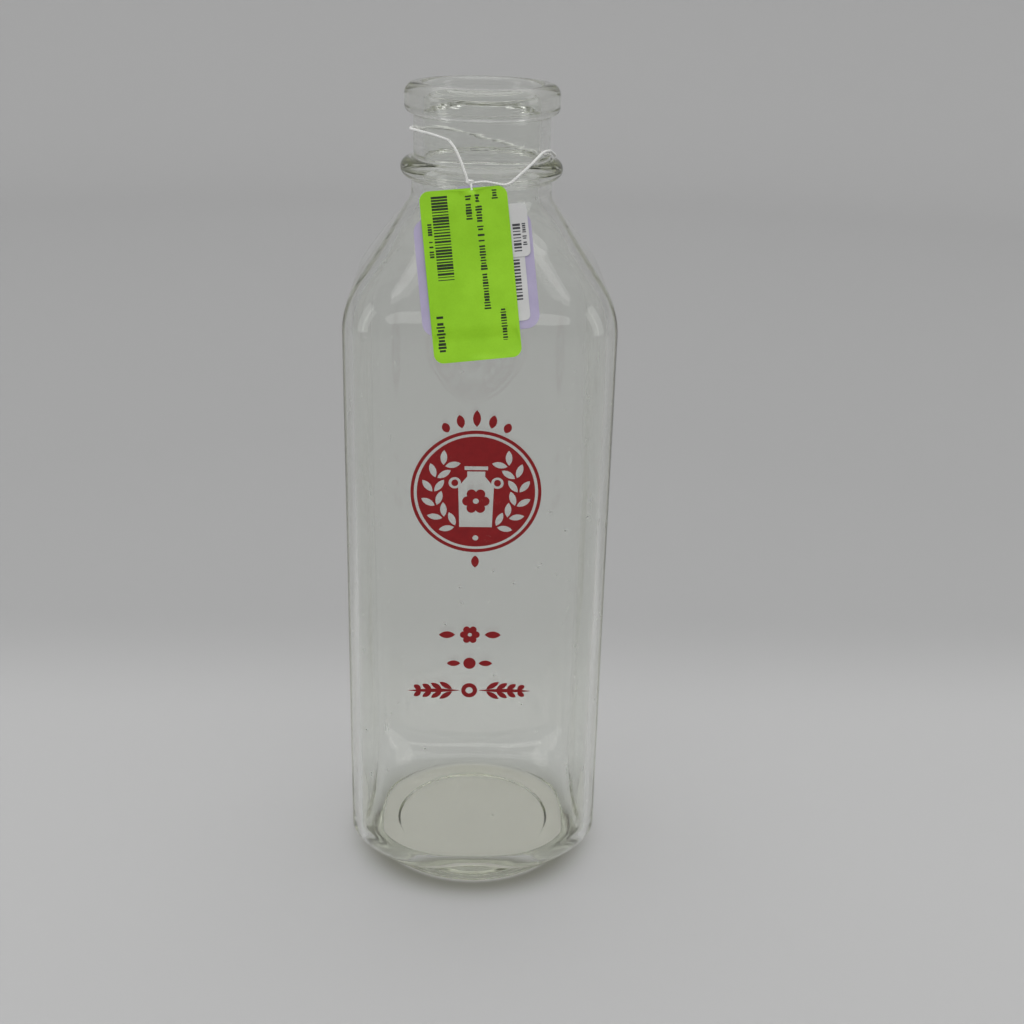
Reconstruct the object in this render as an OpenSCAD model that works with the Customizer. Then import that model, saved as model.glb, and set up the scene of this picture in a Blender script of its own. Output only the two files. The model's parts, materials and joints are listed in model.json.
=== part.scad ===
// Square glass milk bottle with a round neck, a fired enamel decoration on its front panel
// and a strung card tag with paper labels.
// Millimetres. The origin is the centre of the foot, +Z is up and the decorated panel faces -Y.

/* [Glass body] */
// Height of the bottle from the table to the rim
bottle_h = 262.5; // [250:0.5:290]
// Width of the square body, panel face to panel face
body_w = 82.8; // [80:0.2:90]
// Radius of the four upright corners
corner_r = 15.5; // [12:0.5:18]
// Thickness of the glass wall
wall_t = 3.2; // [2.6:0.1:3.8]

/* [Foot] */
// Diameter of the round foot
foot_d = 71; // [68:0.5:74]
// Radius of the edge round the foot
foot_edge_r = 1.8; // [1.2:0.1:2.4]
// Height of the heel at the middle of a panel
heel_h = 12; // [9:0.5:16]
// Height of the heel at a corner
corner_heel_h = 22; // [18:0.5:28]
// Thickness of the glass floor
floor_t = 8; // [6:0.5:11]
// Width of the flat part of the inner floor, which is a rounded square
floor_w = 63; // [56:0.5:65]
// Radius of the corners of that flat part
floor_corner_r = 22; // [16:0.5:26]
// Height of the inner heel above the floor at the middle of a panel
inner_heel_h = 9; // [7:0.5:12]
// Height of the inner heel above the floor at a corner
inner_corner_heel_h = 15; // [12:0.5:20]
// Diameter of the recess pressed into the underside
recess_d = 55; // [50:0.5:60]
// Depth of that recess
recess_h = 0.6; // [0.3:0.1:1.5]
// Width of the slope round that recess
recess_edge_w = 1.4; // [1:0.1:2.5]

/* [Shoulder] */
// Radius of the bend from a panel into the shoulder
shoulder_r = 24.4; // [20:0.2:28]
// Angle of the shoulder's slope from upright, in degrees
shoulder_angle = 35; // [32:0.5:38]
// Radius of the bend from the shoulder into the throat
throat_bend_r = 6; // [4:0.5:8]
// Length over which the square shoulder turns round below the throat
rounding_h = 10; // [8:0.5:14]

/* [Neck and rim] */
// Diameter of the rim band
rim_d = 47; // [46:0.2:49]
// Height of the rim band
rim_h = 8.8; // [8:0.1:10]
// Radius of the rim's upper outer edge
rim_top_r = 3.2; // [2:0.1:3.4]
// Radius of the rim's lower edge
rim_low_r = 2; // [1:0.1:2.4]
// Radius of the rim's inner edge
mouth_r = 1.8; // [1:0.1:2]
// Diameter of the neck between the rim and the bead
neck_d = 41.6; // [41:0.1:43]
// Height from the middle of the bead to the rim's underside
neck_h = 16.1; // [15:0.1:20]
// How far the bead stands out from the neck above it
bead_out = 4.05; // [3.4:0.05:4.8]
// Height of the bead
bead_h = 5.8; // [5:0.1:6.4]
// How far the throat below the bead stands out from the neck above it
throat_out = 0.8; // [0.4:0.1:1.4]
// Height of the throat below the middle of the bead
throat_h = 6.95; // [6:0.05:10]
// Diameter of the bore through the neck
bore_d = 35.4; // [33:0.1:35.8]

/* [Enamel] */
// Thickness of the fired enamel
enamel_t = 0.2; // [0.15:0.05:0.4]
// Height of the middle of the round emblem above the table
emblem_z = 147; // [135:0.5:155]
// Distance from the middle of the panel to the middle of the round emblem
emblem_x = -0.7; // [-3:0.1:3]
// Diameter of the round emblem
emblem_d = 39.6; // [32:0.2:46]
// Width of the ring round the emblem
emblem_ring_w = 1; // [0.6:0.1:1.6]
// Height of the middle of the lower ornament above the table
ornament_z = 88.5; // [70:0.5:95]
// Distance from the middle of the panel to the middle of the lower ornament
ornament_x = -2; // [-3:0.1:3]
// Width of the lower ornament
ornament_w = 39; // [30:0.5:46]

/* [Tag] */
// Width of the card
card_w = 34; // [30:0.5:38]
// Height of the card below its top tab
card_h = 34; // [30:0.5:40]
// Thickness of the card
card_t = 0.4; // [0.3:0.05:0.6]
// Width of the tab at the top of the card
tab_w = 9; // [8:0.5:12]
// Diameter of the punched hole in the tab
hole_d = 3; // [2.4:0.1:3.4]
// Thickness of a paper label
label_t = 0.15; // [0.1:0.05:0.25]
// Width of the large price label
price_w = 25.4; // [24:0.2:27]
// Height of the large price label
price_h = 49.6; // [46:0.2:54]
// Width of the two white labels
white_w = 25; // [22:0.2:26]
// Turn of the tag in its own plane, in degrees
tag_roll = 6; // [0:0.5:10]
// Clearance between the back of the card and the shoulder
tag_gap = 0.3; // [0.2:0.05:0.5]
// Diameter of the tag's cotton string
string_d = 0.9; // [0.7:0.1:1]

/* [Hidden] */
$fn = 96;

// Small overlap or step that keeps two joined surfaces from lying exactly on each other.
eps = 0.2;
// How far one solid or cutter runs into the next.
lap = 1;

half_w = body_w / 2;
foot_r = foot_d / 2;
rim_r = rim_d / 2;
neck_r = neck_d / 2;
throat_r = neck_r + throat_out;
bore_r = bore_d / 2;
bead_r = bead_h / 2;
bead_ring_r = neck_r + bead_out - bead_r;
rim_z = bottle_h - rim_h;
bead_z = rim_z - neck_h;
throat_z = bead_z - throat_h;

// The shoulder is an arc that leaves the panel upright, then a straight slope up to the throat.
shoulder_c = half_w - shoulder_r;
slope_top_w = throat_r + throat_bend_r * (1 - cos(shoulder_angle));
slope_top_z = throat_z - throat_bend_r * sin(shoulder_angle);
slope_low_w = shoulder_c + shoulder_r * cos(shoulder_angle);
slope_low_z = slope_top_z - (slope_low_w - slope_top_w) / tan(shoulder_angle);
shoulder_z = slope_low_z - shoulder_r * sin(shoulder_angle);

// The same lines, one wall thickness further in.
inner_arc_r = shoulder_r - wall_t;
inner_low_w = shoulder_c + inner_arc_r * cos(shoulder_angle);
inner_low_z = shoulder_z + inner_arc_r * sin(shoulder_angle);
inner_top_w = bore_r + eps;
inner_top_z = inner_low_z + (inner_low_w - inner_top_w) / tan(shoulder_angle);
inner_corner_r = corner_r - wall_t;

// Directions in which each level of the glass is sampled: closer together at the corners.
corner_steps = [0, 9, 17, 24, 29, 32, 36, 40, 45, 50, 54, 58, 61, 66, 73, 81];
directions = [for (quarter = [0 : 3]) for (step = corner_steps) 90 * quarter + step];

arc_steps = 7;
slope_steps = 8;
heel_steps = 9;
// How full the heel's curve is: 1 is straight, larger swells sooner.
heel_fullness = 1.7;

// Distance from the axis to a square of half width w with corners of radius r, in direction a.
function square_reach(a, w, r) =
    let (b = abs((a + 45) % 90 - 45), c = w - r, along = c * (cos(b) + sin(b)))
    tan(b) * w <= c ? w / cos(b) : along + sqrt(along * along - 2 * c * c + r * r);

function smooth(t) = t <= 0 ? 0 : t >= 1 ? 1 : t * t * (3 - 2 * t);

function ring(z, reach) = [for (i = [0 : len(directions) - 1])
    [reach[i] * cos(directions[i]), reach[i] * sin(directions[i]), z]];

// A level of the heel, which grows from a circle of radius r0 at z0 to the full square.
function heel_ring(z, z0, r0, w, r, mid_h, corner_h, fullness) =
    ring(z, [for (a = directions)
        let (
            full = square_reach(a, w, r),
            share = (full - w) / (square_reach(45, w, r) - w),
            t = min(1, (z - z0) / (mid_h + (corner_h - mid_h) * share - z0))
        )
        r0 + (full - r0) * (1 - pow(1 - t, fullness))]);

// A level of the inside's heel, a quarter of an ellipse from the flat floor up to the wall.
function inner_heel_ring(rise, w, r) =
    ring(floor_t + rise, [for (a = directions)
        let (
            full = square_reach(a, w, r),
            low = square_reach(a, floor_w / 2, floor_corner_r),
            share = (full - w) / (square_reach(45, w, r) - w),
            t = min(1, rise / (inner_heel_h + (inner_corner_heel_h - inner_heel_h) * share))
        )
        low + (full - low) * sqrt(1 - (1 - t) * (1 - t))]);

function square_ring(z, w, r) = ring(z, [for (a = directions) square_reach(a, w, r)]);

// Levels of the shoulder: the arc, then the slope, whose corners open out until it is round.
function shoulder_rings(arc_r, low_w, low_z, top_w, top_z, r) = concat(
    [for (i = [0 : arc_steps - 1])
        let (a = shoulder_angle * i / arc_steps)
        square_ring(shoulder_z + arc_r * sin(a), shoulder_c + arc_r * cos(a), r)],
    [for (i = [0 : slope_steps])
        let (
            z = low_z + (top_z - low_z) * i / slope_steps,
            w = low_w + (top_w - low_w) * i / slope_steps,
            t = smooth(1 - (top_z - z) / rounding_h)
        )
        square_ring(z, w, r + (w - r) * t)]);

// Skins a list of rings that all have n points, and closes both ends.
module skin(rings) {
    n = len(rings[0]);
    last = len(rings) - 1;
    points = [for (one = rings) for (p = one) p];
    sides = [for (k = [0 : last - 1]) for (i = [0 : n - 1])
        let (a = k * n + i, b = k * n + (i + 1) % n)
        each [[a, a + n, b + n], [a, b + n, b]]];
    bottom = [for (i = [0 : n - 1]) i];
    top = [for (i = [n - 1 : -1 : 0]) last * n + i];
    polyhedron(points, concat(sides, [bottom, top]), convexity = 6);
}

function arc(cx, cy, r, from, to, steps = 12) =
    [for (i = [0 : steps])
        let (a = from + (to - from) * i / steps)
        [cx + r * cos(a), cy + r * sin(a)]];

module outer_body() {
    skin(concat(
        [for (i = [0 : heel_steps])
            heel_ring(foot_edge_r + (corner_heel_h - foot_edge_r) * i / heel_steps, foot_edge_r,
                foot_r, half_w, corner_r, heel_h, corner_heel_h, heel_fullness)],
        shoulder_rings(shoulder_r, slope_low_w, slope_low_z, slope_top_w, slope_top_z, corner_r)));
}

module inner_body() {
    inner_w = half_w - wall_t;
    skin(concat(
        [for (i = [0 : heel_steps])
            inner_heel_ring(inner_corner_heel_h * pow(i / heel_steps, 2), inner_w, inner_corner_r)],
        shoulder_rings(inner_arc_r, inner_low_w, inner_low_z, inner_top_w, inner_top_z,
            inner_corner_r)));
}

// Angle of the throat's bend that the revolved neck leaves to the shoulder.
throat_lap = 8;

module neck_and_rim() {
    bead_low = acos((throat_r - bead_ring_r) / bead_r);
    bead_high = acos((neck_r - bead_ring_r) / bead_r);
    rotate_extrude() polygon(concat(
        [[0, slope_top_z - wall_t], [slope_top_w - wall_t, slope_top_z - wall_t],
            [slope_top_w - eps, slope_top_z]],
        arc(throat_r + throat_bend_r, throat_z, throat_bend_r, 180 + shoulder_angle - throat_lap, 180, 6),
        arc(bead_ring_r, bead_z, bead_r, -bead_low, bead_high, 20),
        [[neck_r, rim_z]],
        arc(rim_r - rim_low_r, rim_z + rim_low_r, rim_low_r, -90, 0, 8),
        arc(rim_r - rim_top_r, bottle_h - rim_top_r, rim_top_r, 0, 90, 10),
        arc(bore_r + mouth_r, bottle_h - mouth_r, mouth_r, 90, 180, 6),
        [[0, bottle_h - mouth_r]]));
}

module foot_ring() {
    edge_c = foot_r - eps - foot_edge_r;
    rotate_extrude() polygon(concat(
        [[0, 0]],
        arc(edge_c, foot_edge_r, foot_edge_r, -90, 0, 6),
        [[edge_c, 2 * foot_edge_r], [0, 2 * foot_edge_r]]));
}

module underside_recess() {
    r = recess_d / 2;
    rotate_extrude()
        polygon([[0, -lap], [r, -lap], [r, 0], [r - recess_edge_w, recess_h], [0, recess_h]]);
}

module bottle() {
    color([0.78, 0.83, 0.80, 0.45]) difference() {
        union() {
            outer_body();
            neck_and_rim();
            foot_ring();
        }
        inner_body();
        translate([0, 0, inner_top_z - lap]) cylinder(r = bore_r, h = bottle_h);
        underside_recess();
    }
}

// Stands a flat drawing on the front panel, y up, as a layer of enamel.
module on_front_panel(x, z) {
    translate([x, -half_w, z]) rotate([90, 0, 0]) linear_extrude(enamel_t) children();
}

// A pointed leaf of the given length and width, lying along +X from the origin.
module leaf(length, width) {
    r = (length * length / width + width) / 4;
    half = asin(length / 2 / r);
    polygon(concat(
        arc(length / 2, r - width / 2, r, -90 - half, -90 + half, 6),
        arc(length / 2, width / 2 - r, r, 90 - half, 90 + half, 6)));
}

// A flower of round petals about an open middle.
module floret(r, petals = 6) {
    difference() {
        union() {
            circle(r * 0.5);
            for (i = [0 : petals - 1]) rotate(360 / petals * i) translate([r * 0.64, 0]) circle(r * 0.36);
        }
        circle(r * 0.22);
    }
}

// A dairy churn, centred on the origin, of the given height.
module churn(h) {
    polygon([[-0.24, -0.5], [0.24, -0.5], [0.26, 0.14], [0.13, 0.3], [0.13, 0.38], [-0.13, 0.38],
        [-0.13, 0.3], [-0.26, 0.14]] * h);
    translate([0, 0.43 * h]) square([0.34 * h, 0.06 * h], center = true);
    for (side = [-1, 1]) translate([side * 0.31 * h, 0.2 * h]) difference() {
        circle(0.09 * h);
        circle(0.05 * h);
    }
}

// How far a leaf of a sprig leans out, and its width as a share of its length.
leaf_spread = 38;
leaf_shape = 0.42;

// Leaves set in pairs along an arc of radius r, from one angle to the other.
module sprig(r, from, to, leaves, size) {
    for (i = [0 : leaves - 1]) {
        a = from + (to - from) * i / (leaves - 1);
        for (side = [-1, 1])
            rotate(a) translate([r, 0]) rotate(90 * sign(to - from) - side * leaf_spread)
                translate([0.1 * size, 0]) leaf(size, size * leaf_shape);
    }
}

module enamel_emblem() {
    r = emblem_d / 2;
    disc_r = r - 1.9 * emblem_ring_w;
    churn_h = 1.16 * disc_r;
    color([0.6, 0.09, 0.11]) on_front_panel(emblem_x, emblem_z) {
        difference() {
            circle(r);
            circle(r - emblem_ring_w);
        }
        difference() {
            circle(disc_r);
            translate([0, -0.06 * disc_r]) churn(churn_h);
            for (side = [0, 1]) mirror([side, 0]) sprig(0.72 * disc_r, -62, 40, 6, 0.27 * disc_r);
            translate([0, -0.84 * disc_r]) circle(0.05 * disc_r);
        }
        translate([0, -0.16 * disc_r]) floret(0.2 * churn_h);
        for (a = [-2 : 2]) rotate(90 - 12 * a) translate([r + 1.2, 0]) leaf(5.2 - abs(a), 2.4);
        rotate(-90) translate([r + 1.2, 0]) leaf(4, 2.4);
    }
}

module enamel_ornament() {
    reach = ornament_w / 2;
    color([0.6, 0.09, 0.11]) on_front_panel(ornament_x, ornament_z) {
        translate([0, 0.52 * reach]) floret(0.16 * reach);
        for (side = [0, 1]) mirror([side, 0]) {
            translate([0.24 * reach, 0.52 * reach]) leaf(0.26 * reach, 0.12 * reach);
            translate([0.15 * reach, 0]) leaf(0.22 * reach, 0.1 * reach);
            translate([0.16 * reach, -0.5 * reach]) leaf(0.84 * reach, 0.06 * reach);
            for (i = [0 : 3]) translate([(0.24 + 0.17 * i) * reach, -0.5 * reach])
                for (lift = [-1, 1]) rotate(32 * lift) translate([0.05 * reach, 0])
                    leaf((0.24 - 0.035 * i) * reach, 0.085 * reach);
        }
        circle(0.1 * reach);
        translate([0, -0.5 * reach]) difference() {
            circle(0.13 * reach);
            circle(0.06 * reach);
        }
    }
}

// The tag leans on the bead and on the shoulder. Its mid plane is the line that touches both
// when the bead is grown by the string's thickness and the shoulder by the card's clearance.
touch_top_r = bead_r + string_d;
touch_low_r = shoulder_r + tag_gap + card_t / 2;
touch_dx = bead_ring_r - shoulder_c;
touch_dz = bead_z - shoulder_z;
tag_lean = asin((touch_low_r - touch_top_r) / norm([touch_dx, touch_dz])) - atan(touch_dx / touch_dz);
// The pivot, where the knot holds the top of the tag, lies this far below the bead's touch.
pivot_drop = 2;
pivot_x = -3.6;
pivot_y = -(bead_ring_r + touch_top_r * cos(tag_lean) + pivot_drop * sin(tag_lean));
pivot_z = bead_z + touch_top_r * sin(tag_lean) - pivot_drop * cos(tag_lean);

// Heights on the tag are measured down from the pivot.
tab_top = -string_d / 2 - 0.5;
hole_margin = 1.1;
hole_y = tab_top - hole_margin - hole_d / 2;
tab_h = 8.4;
tab_r = 2.6;
card_top = tab_top - tab_h;
card_middle_x = -0.5;
card_corner_r = 4;

// The tag's own axes at the pivot: x to the right, y up, z out from the mid plane.
module on_tag_axes() {
    translate([pivot_x, pivot_y, pivot_z]) rotate([90 - tag_lean, 0, 0]) rotate(tag_roll) children();
}

// Puts a flat drawing on the tag as a sheet of thickness t, with its back at z.
module on_tag(z, t) {
    on_tag_axes() translate([0, 0, z]) linear_extrude(t) children();
}

// A rounded rectangle from its left and bottom edges.
module panel(left, bottom, w, h, r) {
    for (x = [left + r, left + w - r]) for (y = [bottom + r, bottom + h - r]) translate([x, y]) circle(r);
    translate([left + r, bottom]) square([w - 2 * r, h]);
    translate([left, bottom + r]) square([w, h - 2 * r]);
}

module tag_card() {
    color([0.70, 0.63, 0.86]) on_tag(-card_t / 2, card_t) difference() {
        union() {
            panel(card_middle_x - card_w / 2, card_top - card_h, card_w, card_h, card_corner_r);
            translate([card_middle_x, 0])
                panel(-tab_w / 2, card_top - card_corner_r, tab_w,
                    tab_top - card_top + card_corner_r, tab_r);
            translate([card_middle_x, 0]) polygon([[-card_w / 2 + card_corner_r, card_top],
                [card_w / 2 - card_corner_r, card_top], [tab_w / 2, tab_top - tab_r],
                [-tab_w / 2, tab_top - tab_r]]);
        }
        translate([0, hole_y]) circle(hole_d / 2);
    }
}

white_lower_right = 13.8;
white_lower_bottom = -41;
white_lower_h = 21.5;
white_upper_right = 15.6;
white_upper_bottom = -22.6;
white_upper_h = 15.4;
white_label_r = 1.6;

module white_label_lower() {
    color([0.93, 0.92, 0.95]) on_tag(card_t / 2, label_t)
        panel(white_lower_right - white_w, white_lower_bottom, white_w, white_lower_h, white_label_r);
}

module white_label_upper() {
    color([0.93, 0.92, 0.95]) on_tag(card_t / 2 + label_t, label_t)
        panel(white_upper_right - white_w, white_upper_bottom, white_w, white_upper_h, white_label_r);
}

price_left = -15;
price_top = -1.7;
price_r = 2.8;

module price_label() {
    color([0.50, 0.76, 0.15]) on_tag(card_t / 2 + 2 * label_t, label_t)
        panel(price_left, price_top - price_h, price_w, price_h, price_r);
}

// Middle of the string where it lies round the neck, from the left leg to the right leg.
loop_route = [
    [-9.9, -19.2, 248.1], [-14.5, -16.2, 249.1], [-19.1, -10.2, 249.4], [-21.6, -1.3, 248.9],
    [-19.6, 9.4, 248.0], [-12.0, 18.3, 246.7], [-3.8, 21.4, 244.8], [6.0, 20.8, 242.8],
    [14.0, 16.6, 241.5], [20.1, 8.4, 241.4], [22.3, -0.7, 241.5], [20.4, -8.2, 243.9]
];
// Middle of the string's two legs, from the neck over the bead to the tag and back.
legs_route = [
    [-9.4, -19.8, 247.7], [-7.9, -22.0, 245.9], [-6.2, -24.2, 242.7], [-4.9, -25.6, 239.4],
    [-3.6, -26.2, 237.1], [1.0, -26.2, 237.4], [6.8, -26.4, 236.7], [10.4, -24.6, 238.9],
    [14.4, -20.6, 241.9], [17.9, -14.8, 244.3], [20.2, -8.9, 244.1]
];
string_sides = 8;
// Steps between two points of a route.
loop_steps = 4;
legs_steps = 3;
knot_r = 0.85 * string_d;
hitch_r = 0.42 * string_d;

function unit(v) = v / norm(v);

// Points on a smooth curve through the route, with the given number of steps between two points.
function smooth_route(route, steps) = [
    for (k = [0 : len(route) - 2]) for (i = [0 : steps - (k < len(route) - 2 ? 1 : 0)])
    let (
        t = i / steps,
        p1 = route[k],
        p2 = route[k + 1],
        p0 = k > 0 ? route[k - 1] : 2 * p1 - p2,
        p3 = k < len(route) - 2 ? route[k + 2] : 2 * p2 - p1
    )
    0.5 * (2 * p1 + (p2 - p0) * t + (2 * p0 - 5 * p1 + 4 * p2 - p3) * t * t
        + (3 * p1 - p0 - 3 * p2 + p3) * t * t * t)
];

module string_along(route, steps) {
    path = smooth_route(route, steps);
    last = len(path) - 1;
    skin([for (k = [0 : last])
        let (
            ahead = unit(path[min(k + 1, last)] - path[max(k - 1, 0)]),
            side = unit(cross(ahead, [0, 0, 1])),
            over = cross(side, ahead)
        )
        [for (i = [0 : string_sides - 1])
            let (a = 360 / string_sides * i)
            path[k] + string_d / 2 * (side * cos(a) + over * sin(a))]]);
}

module string_loop() {
    color([0.95, 0.95, 0.93]) string_along(loop_route, loop_steps);
}

module string_legs() {
    color([0.95, 0.95, 0.93]) string_along(legs_route, legs_steps);
}

// The knot that holds the two legs together above the tag.
module string_knot() {
    color([0.95, 0.95, 0.93]) translate([pivot_x, pivot_y, pivot_z]) sphere(knot_r);
}

// The end of the string that runs down the back of the card and through its hole.
module string_hitch() {
    hitch_top = -knot_r - 0.3;
    color([0.95, 0.95, 0.93]) on_tag_axes() {
        translate([0, hole_y, -card_t / 2 - hitch_r]) rotate([-90, 0, 0])
            cylinder(r = hitch_r, h = hitch_top - hole_y);
        translate([0, hole_y, -card_t / 2 - 2 * hitch_r]) cylinder(r = hitch_r, h = card_t + 2 * hitch_r);
    }
}

bottle();
enamel_emblem();
enamel_ornament();
string_loop();
string_legs();
string_knot();
string_hitch();
tag_card();
white_label_lower();
white_label_upper();
price_label();
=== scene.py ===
"""Dresses a square glass milk bottle: its glass, fired enamel, and the tag that hangs on a thread.

Lengths are millimetres while a piece is being shaped and metres once its mesh is made. The frame is
the part's own: origin at the centre of the foot, +Z up, decorated panel facing -Y.
"""

from __future__ import annotations

import json
import logging
import math
import sys
from collections.abc import Callable, Sequence
from dataclasses import dataclass, field
from enum import Enum
from typing import Any

import bmesh
import bpy
import numpy as np
from mathutils import Matrix, Vector, noise
from mathutils.geometry import delaunay_2d_cdt

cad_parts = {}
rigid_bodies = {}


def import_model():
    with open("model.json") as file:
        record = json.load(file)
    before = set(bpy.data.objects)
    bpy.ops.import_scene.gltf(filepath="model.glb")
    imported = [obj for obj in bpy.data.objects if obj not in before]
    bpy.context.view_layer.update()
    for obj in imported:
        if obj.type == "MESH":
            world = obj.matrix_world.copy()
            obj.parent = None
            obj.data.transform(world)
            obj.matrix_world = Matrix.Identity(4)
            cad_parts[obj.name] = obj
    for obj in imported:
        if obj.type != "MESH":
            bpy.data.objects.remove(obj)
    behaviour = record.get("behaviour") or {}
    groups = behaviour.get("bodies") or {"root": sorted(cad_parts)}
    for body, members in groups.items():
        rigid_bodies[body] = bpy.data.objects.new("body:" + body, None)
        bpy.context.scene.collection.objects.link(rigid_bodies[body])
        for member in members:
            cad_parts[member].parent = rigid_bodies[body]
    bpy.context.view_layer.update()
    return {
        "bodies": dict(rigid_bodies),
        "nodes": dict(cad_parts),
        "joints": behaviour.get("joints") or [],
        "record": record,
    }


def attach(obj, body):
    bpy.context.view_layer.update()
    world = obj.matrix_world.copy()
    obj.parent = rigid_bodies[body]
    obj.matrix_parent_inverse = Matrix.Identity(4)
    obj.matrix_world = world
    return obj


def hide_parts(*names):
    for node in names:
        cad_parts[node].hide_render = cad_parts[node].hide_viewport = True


MM = 0.001
LOG = logging.getLogger("milk_bottle")

Point2 = tuple[float, float]
Point3 = tuple[float, float, float]
Ring = tuple[np.ndarray, float | np.ndarray]


# ---------------------------------------------------------------------------------- helpers


def linear(colour: str, alpha: float = 1.0) -> tuple[float, float, float, float]:
    """Turn an sRGB hex colour into the linear colour that the shaders take.

    Args:
        colour: the colour as "#RRGGBB".
        alpha: its opacity.

    Returns:
        Red, green, blue and alpha.
    """
    shares = [int(colour[i : i + 2], 16) / 255 for i in (1, 3, 5)]
    rgb = [s / 12.92 if s <= 0.04045 else ((s + 0.055) / 1.055) ** 2.4 for s in shares]
    return rgb[0], rgb[1], rgb[2], alpha


def add_node(
    tree: bpy.types.NodeTree,
    kind: str,
    settings: dict[str, Any] | None = None,
    inputs: dict[str | int, Any] | None = None,
) -> bpy.types.Node:
    """Add a node, set its properties, and set or link its inputs.

    Args:
        tree: the tree that the node goes in.
        kind: the node's type.
        settings: its properties by name.
        inputs: constants, or output sockets to link, by the input's name or number.

    Returns:
        The new node.
    """
    node = tree.nodes.new(kind)
    for name, value in (settings or {}).items():
        setattr(node, name, value)
    for key, value in (inputs or {}).items():
        if isinstance(value, bpy.types.NodeSocket):
            tree.links.new(value, node.inputs[key])
        else:
            node.inputs[key].default_value = value
    return node


def new_material(name: str) -> tuple[bpy.types.Material, bpy.types.NodeTree]:
    """Make an empty node material and return it with its tree.

    Args:
        name: the material's name.

    Returns:
        The material and its empty node tree.
    """
    material = bpy.data.materials.new(name)
    material.use_nodes = True
    material.node_tree.nodes.clear()
    return material, material.node_tree


def finish_material(
    tree: bpy.types.NodeTree, shader: bpy.types.Node, volume: bpy.types.Node | None = None
) -> None:
    """Join a shader, and a volume where there is one, to the material's output.

    Args:
        tree: the material's tree.
        shader: the node that gives the surface.
        volume: the node that fills the inside, or nothing.
    """
    inputs = {"Surface": shader.outputs[0]}
    if volume is not None:
        inputs["Volume"] = volume.outputs[0]
    add_node(tree, "ShaderNodeOutputMaterial", inputs=inputs)


def link_mesh(name: str, mesh: bpy.types.Mesh) -> bpy.types.Object:
    """Put a finished mesh in the scene, with its object at the origin.

    Args:
        name: the object's name.
        mesh: its mesh.

    Returns:
        The object, in the scene at the world origin.
    """
    piece = bpy.data.objects.new(name, mesh)
    bpy.context.scene.collection.objects.link(piece)
    return piece


def mesh_object(
    name: str, points_mm: np.ndarray, faces: Sequence[Sequence[int]], smooth: bool = True
) -> bpy.types.Object:
    """Make an object whose mesh holds its place, with the object itself at the origin.

    Args:
        name: the piece's name.
        points_mm: its vertices, in millimetres.
        faces: each face's vertex numbers, counter-clockwise from outside.
        smooth: whether the faces are shaded smooth.

    Returns:
        The object, linked to the scene.
    """
    mesh = bpy.data.meshes.new(name)
    mesh.from_pydata((np.asarray(points_mm, float) * MM).tolist(), [], [list(f) for f in faces])
    mesh.validate()
    mesh.polygons.foreach_set("use_smooth", [smooth] * len(mesh.polygons))
    mesh.update()
    return link_mesh(name, mesh)


def bmesh_object(name: str, form: bmesh.types.BMesh) -> bpy.types.Object:
    """Turn an edited form into a piece of the scene, and let the form go.

    Args:
        name: the object's name.
        form: the mesh being built, which is freed.

    Returns:
        The object, in the scene at the world origin.
    """
    mesh = bpy.data.meshes.new(name)
    form.to_mesh(mesh)
    form.free()
    return link_mesh(name, mesh)


def grow(
    source: bpy.types.Object, tree: bpy.types.NodeTree, values: dict[str, Any]
) -> bpy.types.Mesh:
    """Run a geometry-node tree once on an object and keep only the mesh that it grows.

    Args:
        source: the object that the tree starts from. It is removed.
        tree: the tree.
        values: the tree's inputs that differ from their defaults, by name.

    Returns:
        The grown mesh.
    """
    modifier = source.modifiers.new(tree.name, "NODES")
    modifier.node_group = tree
    sockets = {s.name: s.identifier for s in tree.interface.items_tree if s.in_out == "INPUT"}
    for key, value in values.items():
        modifier[sockets[key]] = value
    bpy.context.view_layer.update()
    graph = bpy.context.evaluated_depsgraph_get()
    mesh = bpy.data.meshes.new_from_object(source.evaluated_get(graph))
    bpy.data.objects.remove(source)
    return mesh


def dress(piece: bpy.types.Object, material: bpy.types.Material) -> None:
    """Give a piece one material.

    Args:
        piece: the piece.
        material: its finish.
    """
    piece.data.materials.clear()
    piece.data.materials.append(material)


def report(piece: bpy.types.Object) -> None:
    """Log a finished piece and its size in faces."""
    LOG.info("%s: %d faces", piece.name, len(piece.data.polygons))


def ease(t: float) -> float:
    """Go smoothly from 0 to 1 as t does."""
    t = min(max(t, 0.0), 1.0)
    return t * t * (3 - 2 * t)


def arc(cx: float, cy: float, r: float, start: float, end: float, steps: int) -> list[Point2]:
    """Points in even steps on an arc about (cx, cy), from one angle in degrees to another."""
    angles = [math.radians(start + (end - start) * i / steps) for i in range(steps + 1)]
    return [(cx + r * math.cos(a), cy + r * math.sin(a)) for a in angles]


def smooth_route(route: Sequence[Point3], steps: int) -> list[Vector]:
    """Points on a smooth curve through the route's own points.

    Args:
        route: the points that the curve passes through.
        steps: the number of spans between two of them.

    Returns:
        The points along the curve.
    """
    knots = [Vector(p) for p in route]
    knots = [2 * knots[0] - knots[1], *knots, 2 * knots[-1] - knots[-2]]
    made = []
    for p0, p1, p2, p3 in zip(knots, knots[1:], knots[2:], knots[3:]):
        for i in range(steps):
            t = i / steps
            made.append(
                0.5
                * (
                    2 * p1
                    + (p2 - p0) * t
                    + (2 * p0 - 5 * p1 + 4 * p2 - p3) * t * t
                    + (3 * p1 - p0 - 3 * p2 + p3) * t**3
                )
            )
    return [*made, knots[-2]]


# --------------------------------------------------------------------------------- finishes


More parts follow.
